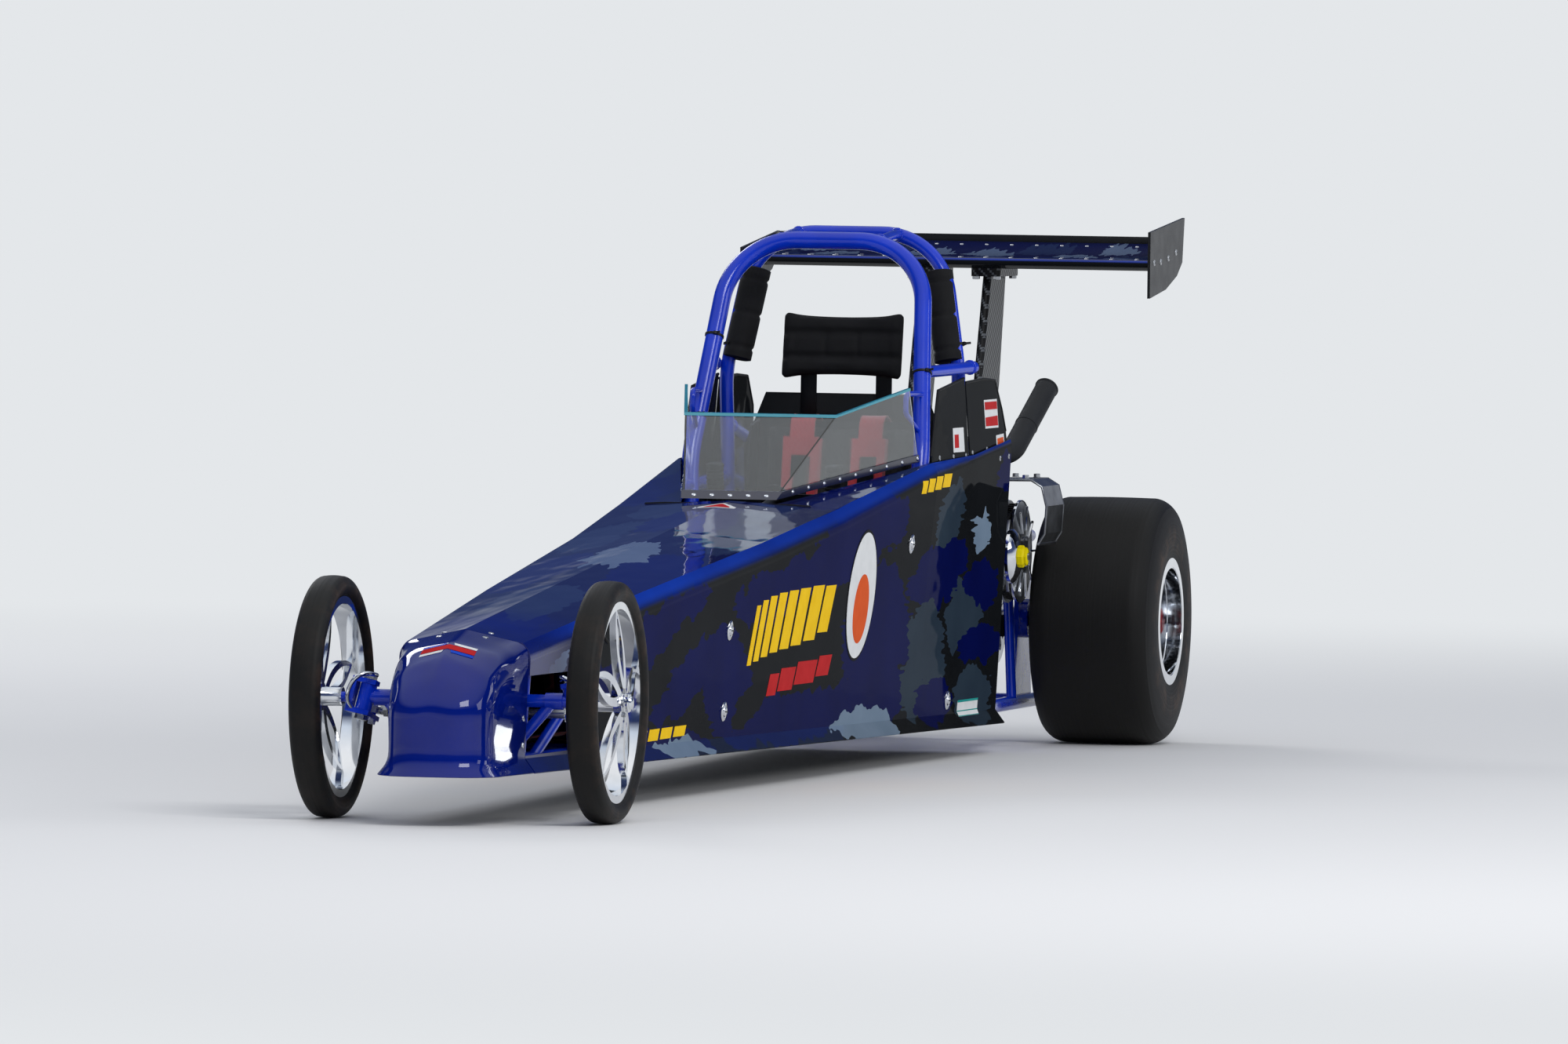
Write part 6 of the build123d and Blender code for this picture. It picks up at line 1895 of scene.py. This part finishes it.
    def teeth(self) -> None:
        """Cuts teeth round both sprockets, and bolts on the disc and the sprocket."""
        tooth = slab("tooth", ((-0.004, -0.0052), (0.0035, -0.0030), (0.0068, -0.0012), (0.0068, 0.0012),
                                        (0.0035, 0.0030), (-0.004, 0.0052)), 0.0040)
        frame_at = facing(place(0, self.chain_y - 2, self.axle_z), (0, 1, 0))
        spots = [frame_at @ spot for spot in ring_of(46, 0.0880)]
        rear = join("sprocket_teeth", copies(tooth, spots, keep_master=True))
        self.hand_over(finish_mesh(rear, 30.0), STEEL, "steel")
        frame_at = facing(place(222, self.chain_y - 2, 360), (0, 1, 0))
        front = repeat("jack_teeth", tooth, [frame_at @ spot for spot in ring_of(16, 0.0260)])
        self.hand_over(finish_mesh(front, 30.0), STEEL, "steel", "chassis")
        spots = [facing(place(0, y, self.axle_z), (0, way, 0)) @ spot for y, way in ((114.5, 1), (-115, -1))
                 for spot in ring_of(6, 0.034)]
        self.bolts("hub_flange_bolts", 0.010, 0.005, spots)

    def carriers(self) -> None:
        """Adds the bolts of the axle carriers, bearings and caliper."""
        spots = [facing(place(0, 178, self.axle_z), (0, 1, 0)) @ spot for spot in ring_of(4, 0.029, 0, 45)]
        self.bolts("carrier_bolts", 0.013, 0.007, both_sides(spots), "chassis")
        seal = hoop_ring("axle_seals", 0.0165, 0.006, 0.008, 36)
        self.hand_over(repeat("axle_seals", seal, both_sides([facing(place(0, 181, self.axle_z), (0, 1, 0))])),
                       RUBBER, "rubber", "chassis")
        spots = [facing(place(96, 136, 219), (0, 1, 0)), facing(place(96, 88, 219), (0, -1, 0))]
        profile = ((0, 0), (17, 0), (17, 3), (14, 4.5), (12, 3), (0, 3))
        self.turned("caliper_caps", profile, 28, spots, STEEL, "steel", "chassis")
        spots = [facing(place(222 + dx, 158, 368 + dz), (0, 1, 0)) for dx in (-22, 22) for dz in (-28, 28)]
        spots += [facing(place(222 + dx, -150, 368 + dz), (0, -1, 0)) for dx in (-22, 22) for dz in (-28, 28)]
        self.bolts("block_bolts", 0.011, 0.006, spots, "chassis")

    def build(self) -> None:
        """Dresses the rear end and adds its small pieces."""
        self.dress(SPUN, "rear_wheels")
        self.dress(REAR_RUBBER, "rear_tyres")
        self.dress(STEEL, "rear_axle", "brake_disc", "axle_sprocket")
        self.dress(BLACK_STEEL, "brake_caliper", "bearing_blocks")
        self.wheel_trim()
        self.chain()
        self.teeth()
        self.carriers()


@dataclass
class PowerUnit(Rider):
    """Engine, clutches, belt, guard and exhaust."""

    crank: Point = (406, 0, 357)
    jack: Point = (222, 0, 360)

    def engine_bits(self) -> None:
        """Adds covers, bolts, plug, carburettor and filter to the engine."""
        spots = [facing(place(406, 130, 346), (0, 1, 0)) @ Matrix.Translation((x, y, 0))
                 for x, y in ((0.070, 0.060), (-0.070, 0.060), (0.070, -0.062), (-0.070, -0.062), (0, 0.072),
                              (0.078, 0))]
        spots += [facing(place(406, -126, 357), (0, -1, 0)) @ spot for spot in ring_of(8, 0.074)]
        self.bolts("case_bolts", 0.010, 0.006, spots)
        fan = [hoop_ring("fan_rim", 0.050, 0.006, 0.006, 44)]
        vane = round_box("fan_vane", (0.030, 0.0035, 0.004), 0.0008, 1)
        fan += copies(vane, ring_of(18, 0.035, -0.002))
        hub = lathe("fan_hub", ((0, 0), (0.020, 0), (0.020, 0.004), (0.012, 0.007), (0, 0.007)), 28)
        fan.append(finish_mesh(hub, 30.0))
        screen = join("fan_screen", fan)
        screen.data.transform(facing(place(406, -128, 357), (0, -1, 0)))
        self.hand_over(screen, BLACK_STEEL, "black_steel")
        spots = [facing(place(406 + x, 10 + y, 554), (0, 0, 1)) for x in (-46, 46) for y in (-40, 40)]
        self.bolts("head_nuts", 0.012, 0.009, spots)
        plug = join("spark_plug", [
            lathe("plug_hex", ((0, 0), (0.010, 0), (0.010, 0.007), (0.0075, 0.009), (0, 0.009)), 6),
            lathe("plug_body", ((0, 0.008), (0.0055, 0.008), (0.0055, 0.020), (0.0045, 0.022), (0.0045, 0.034),
                                (0.002, 0.036), (0, 0.036)), 18),
        ])
        plug.data.transform(facing(place(418, 10, 572), (0.25, 0, 1)))
        self.hand_over(finish_mesh(plug, 30.0), CERAMIC, "engine_cast")
        throat = lathe("carburettor", ((0, 0), (0.021, 0), (0.021, 0.006), (0.015, 0.008), (0.015, 0.018),
                                       (0.022, 0.021), (0.022, 0.052), (0.017, 0.055), (0.017, 0.066), (0, 0.066)), 32)
        throat.data.transform(facing(place(392, -46, 508), (-0.25, -1, 0.1)))
        bowl = lathe("float_bowl", ((0, 0), (0.015, 0), (0.016, 0.004), (0.016, 0.022), (0.012, 0.027), (0, 0.029)), 28)
        bowl.data.transform(facing(place(383.5, -80, 494), (0, 0, -1)))
        body = join("carburettor", [finish_mesh(throat, 30.0), finish_mesh(bowl, 30.0)])
        self.hand_over(body, CASTING, "engine_cast")
        profile = [(0, 0), (0.024, 0), (0.030, 0.003)]
        for k in range(12):
            height = 0.006 + k * 0.006
            profile += [(0.032 + 0.0006 * k, height), (0.0285 + 0.0006 * k, height + 0.003)]
        profile += [(0.041, 0.080), (0.041, 0.088), (0.036, 0.092), (0, 0.092)]
        cone = lathe("air_filter", profile, 36)
        cone.data.transform(facing(place(375.5, -108, 514), (-0.25, -1, 0.1)) @ Matrix.Scale(0.9, 4))
        self.hand_over(finish_mesh(cone, 30.0), RED_CLOTH, "engine_cast")
        spots = [facing(place(470, 70, 430), (0.2, 0.2, 1))]
        profile = ((0, 0), (14, 0), (14, 6), (17, 8), (17, 16), (13, 19), (0, 19))
        self.turned("oil_cap", profile, 10, spots, BLACK_NYLON, "rubber", angle=25.0)

    def clutches(self) -> None:
        """Adds the ramp ring, yellow nut, ribs and rim of the two clutches."""
        out = facing(place(self.crank[0], 0, self.crank[2]), (0, 1, 0))
        profile = ((0, 220), (46, 220), (50, 224), (50, 230), (44, 236), (30, 242), (18.5, 243), (0, 243))
        self.turned("clutch_cover", profile, 48, [out], SPUN, "brushed")
        profile = ((0, 240.5), (20.5, 240.5), (20.5, 250), (16.5, 253), (16.5, 256.5), (9, 258), (0, 258))
        self.turned("clutch_nut", profile, 8, [out], YELLOW_PAINT, "brushed", angle=25.0)
        rib = round_box("clutch_ribs", (0.040, 0.004, 0.006), 0.0012, 2)
        spots = [out @ Matrix.Translation((0, 0, 0.2105)) @ spot for spot in ring_of(6, 0.056)]
        self.hand_over(repeat("clutch_ribs", rib, spots), BRUSHED, "brushed")
        jack = facing(place(self.jack[0], 0, self.jack[2]), (0, 1, 0))
        rim = hoop_ring("driven_rim", 0.0935, 0.0055, 0.0020, 72)
        rim.data.transform(jack @ Matrix.Translation((0, 0, 0.2035)))
        rib = round_box("driven_ribs", (0.046, 0.004, 0.005), 0.0012, 2)
        ribs = copies(rib, [jack @ Matrix.Translation((0, 0, 0.2100)) @ spot for spot in ring_of(9, 0.062)])
        self.hand_over(join("driven_rim", [rim] + ribs), SPUN, "brushed")
        spots = [jack @ Matrix.Translation((0, 0, 0.2109)) @ spot for spot in ring_of(6, 0.028)]
        self.bolts("driven_bolts", 0.008, 0.004, spots)

    def belt(self) -> None:
        """Makes the drive belt with its cogs, in place of the plain band."""
        first, second = (406.0, 357.0, 51.0), (222.0, 360.0, 87.0)
        reach = math.hypot(second[0] - first[0], second[1] - first[1])
        lean = math.atan2(second[1] - first[1], second[0] - first[0])
        wrap = math.acos((first[2] - second[2]) / reach)
        line = []
        arcs = ((first, lean + wrap, 2 * (math.pi - wrap)), (second, lean - wrap + 2 * math.pi, 2 * wrap))
        for circle, start, sweep in arcs:
            cuts = 36
            for k in range(cuts + 1):
                turn = start + sweep * k / cuts
                line.append((circle[0] + circle[2] * math.cos(turn), circle[1] + circle[2] * math.sin(turn)))
        dense = []
        for (x0, z0), (x1, z1) in zip(line, line[1:] + line[:1]):
            cuts = max(1, round(math.hypot(x1 - x0, z1 - z0) / 8))
            dense += [(x0 + (x1 - x0) * k / cuts, z0 + (z1 - z0) * k / cuts) for k in range(cuts)]
        belt_y, near, far, depth = 192.0, 7.6, 8.9, 10.6
        section = ((-far, 0.0), (far, 0.0), (near, -depth), (-near, -depth), (-far, 0.0))

        def spot_of(column: int, row: int) -> Vector:
            step = column % len(dense)
            y, rise = section[row]
            x0, z0 = dense[step - 1]
            x1, z1 = dense[(step + 1) % len(dense)]
            way = Vector((x1 - x0, z1 - z0)).normalized()
            x, z = dense[step]
            return place(x + way.y * rise, belt_y + y, z - way.x * rise)

        band = face_outwards(sheet("belt_with_cogs", len(dense), len(section) - 1, spot_of), 1e-5)
        cog = round_box("cog", (0.0045, 0.0150, 0.0028), 0.0008, 1)
        cogs = []
        for step in range(0, len(dense), 2):
            x0, z0 = dense[step - 1]
            x1, z1 = dense[(step + 1) % len(dense)]
            way = Vector((x1 - x0, 0, z1 - z0)).normalized()
            out = Vector((way.z, 0, -way.x))
            turn = Matrix((way, out.cross(way), out)).transposed().to_4x4()
            x, z = dense[step]
            cogs += copies(cog, [Matrix.Translation(place(x, belt_y, z) - out * 0.0006) @ turn], keep_master=True)
        bpy.data.objects.remove(cog)
        whole = join("belt_with_cogs", [band] + cogs)
        self.hand_over(finish_mesh(whole, 40.0), RUBBER, "rubber", replaces=("drive_belt",))

    def guard(self) -> None:
        """Rolls the guard's free edges and bolts it down."""
        edge = [(172.0, 446.0), (172.0, 484.0), (184.0, 497.0), (262.0, 498.0), (282.0, 486.0), (291.0, 450.0),
                (288.0, 400.0), (276.0, 380.0)]
        rods = []
        for station in (251.0, 399.0):
            rods.append(bent_rod("guard_edge", [place(station, y - 1.2, z - 1.0) for y, z in edge], 0.0022, 2, False))
        hem = [place(station, 275.5, 380) for station in (251, 325, 399)]
        rods.append(bent_rod("guard_hem", hem, 0.0030, 3, False))
        self.hand_over(join("guard_edges", rods), GUARD_SHEET_PAINTED_REFLECTION, "brushed")
        spots = [facing(place(station, 174.5, 466), (0, 1, 0)) for station in (285, 365)]
        spots += [facing(place(station, y, 499.5), (0, 0, 1)) for station in (275, 375) for y in (205, 245)]
        self.bolts("guard_bolts", 0.011, 0.006, spots)

    def pipe(self) -> None:
        """Adds the exhaust's flange, seam, rolled end and flange nuts."""
        end = place(176, 241, 664)
        way = (end - place(330, 210, 548)).normalized()
        lip = hoop_ring("pipe_lip", 0.0195, 0.004, 0.0028, 40)
        lip.data.transform(facing(end - way * 0.003, way))
        seam = hoop_ring("pipe_seam", 0.0207, 0.004, 0.0011, 40)
        seam.data.transform(facing(end - way * 0.118, way))
        foot = place(406, 62, 530)
        flange = round_box("pipe_flange", (0.070, 0.050, 0.007), 0.006, 3)
        flange.data.transform(facing(foot, (-0.12, 1, 0.03)))
        self.hand_over(join("pipe_fittings", [lip, seam, flange]), HEAT_BLACK, "heat_black")
        spots = [facing(foot, (-0.12, 1, 0.03)) @ Matrix.Translation((x, 0, 0.007)) for x in (-0.028, 0.028)]
        self.bolts("pipe_nuts", 0.012, 0.008, spots)

    def build(self) -> None:
        """Dresses the power unit and adds its small pieces."""
        self.dress(CASTING, "engine")
        self.dress(BRUSHED, "drive_clutch", "driven_clutch")
        self.dress(GUARD_SHEET_PAINTED_REFLECTION, "belt_guard")
        self.dress(HEAT_BLACK, "exhaust_pipe")
        self.engine_bits()
        self.clutches()
        self.belt()
        self.guard()
        self.pipe()


@dataclass
class WingGroup(Rider):
    """Wing, end plates and struts, with their fasteners and trailing lip."""

    half_span: float = 386.0

    def build(self) -> None:
        """Dresses the wing and adds its fasteners and lip."""
        self.dress(CARBON, "wing_struts")
        self.dress(BODY_WRAP, "wing")
        self.dress(BLACK_PANEL, "wing_end_plates")
        chord = ((-60, 893), (-120, 894), (-190, 900), (-260, 910))
        spots = both_sides([facing(place(station, self.half_span + 5.0, z), (0, 1, 0)) for station, z in chord])
        profile = ((0, 0), (6, 0), (5.4, 1.4), (2.2, 2), (2.2, 0.8), (0, 0.8))
        self.turned("plate_screws", profile, 16, spots, STEEL, "steel", angle=40.0)
        spots = []
        for y in range(-360, 361, 48):
            for station in (-48, -285):
                found, normal = land("wing", place(station, y, 1100), (0, 0, -1))
                spots.append(facing(found, normal))
        self.turned("wing_rivets", ((0, 0), (3.6, 0), (3, 1), (0, 1.5)), 10, spots, STEEL, "steel", angle=60.0)
        lip = round_box("trailing_lip", (0.003, 2 * self.half_span / 1000 - 0.006, 0.014), 0.0008, 2)
        lip.data.transform(Matrix.Translation(place(-317.5, 0, 923.5)))
        self.hand_over(lip, BLACK_PANEL, "panel_black")
        spots = both_sides([facing(place(-180 + x, 62 + y, 864), (0, 0, -1)) for x in (-70, 70) for y in (-20, 20)])
        self.bolts("strut_bolts", 0.013, 0.007, spots)
        spots = both_sides([on_side("wing_struts", station, 432) for station in (30, -25)])
        self.bolts("strut_foot_bolts", 0.014, 0.008, spots)


def main() -> None:
    """Builds the studio and every sub-assembly."""
    logging.basicConfig(level=logging.INFO, format="%(message)s")
    Studio().build()
    for group in (FrameTubes(), Bodywork(), Cockpit(), FrontEnd(), RearEnd(), PowerUnit(), WingGroup()):
        group.build()


if __name__ == "__main__":
    main()
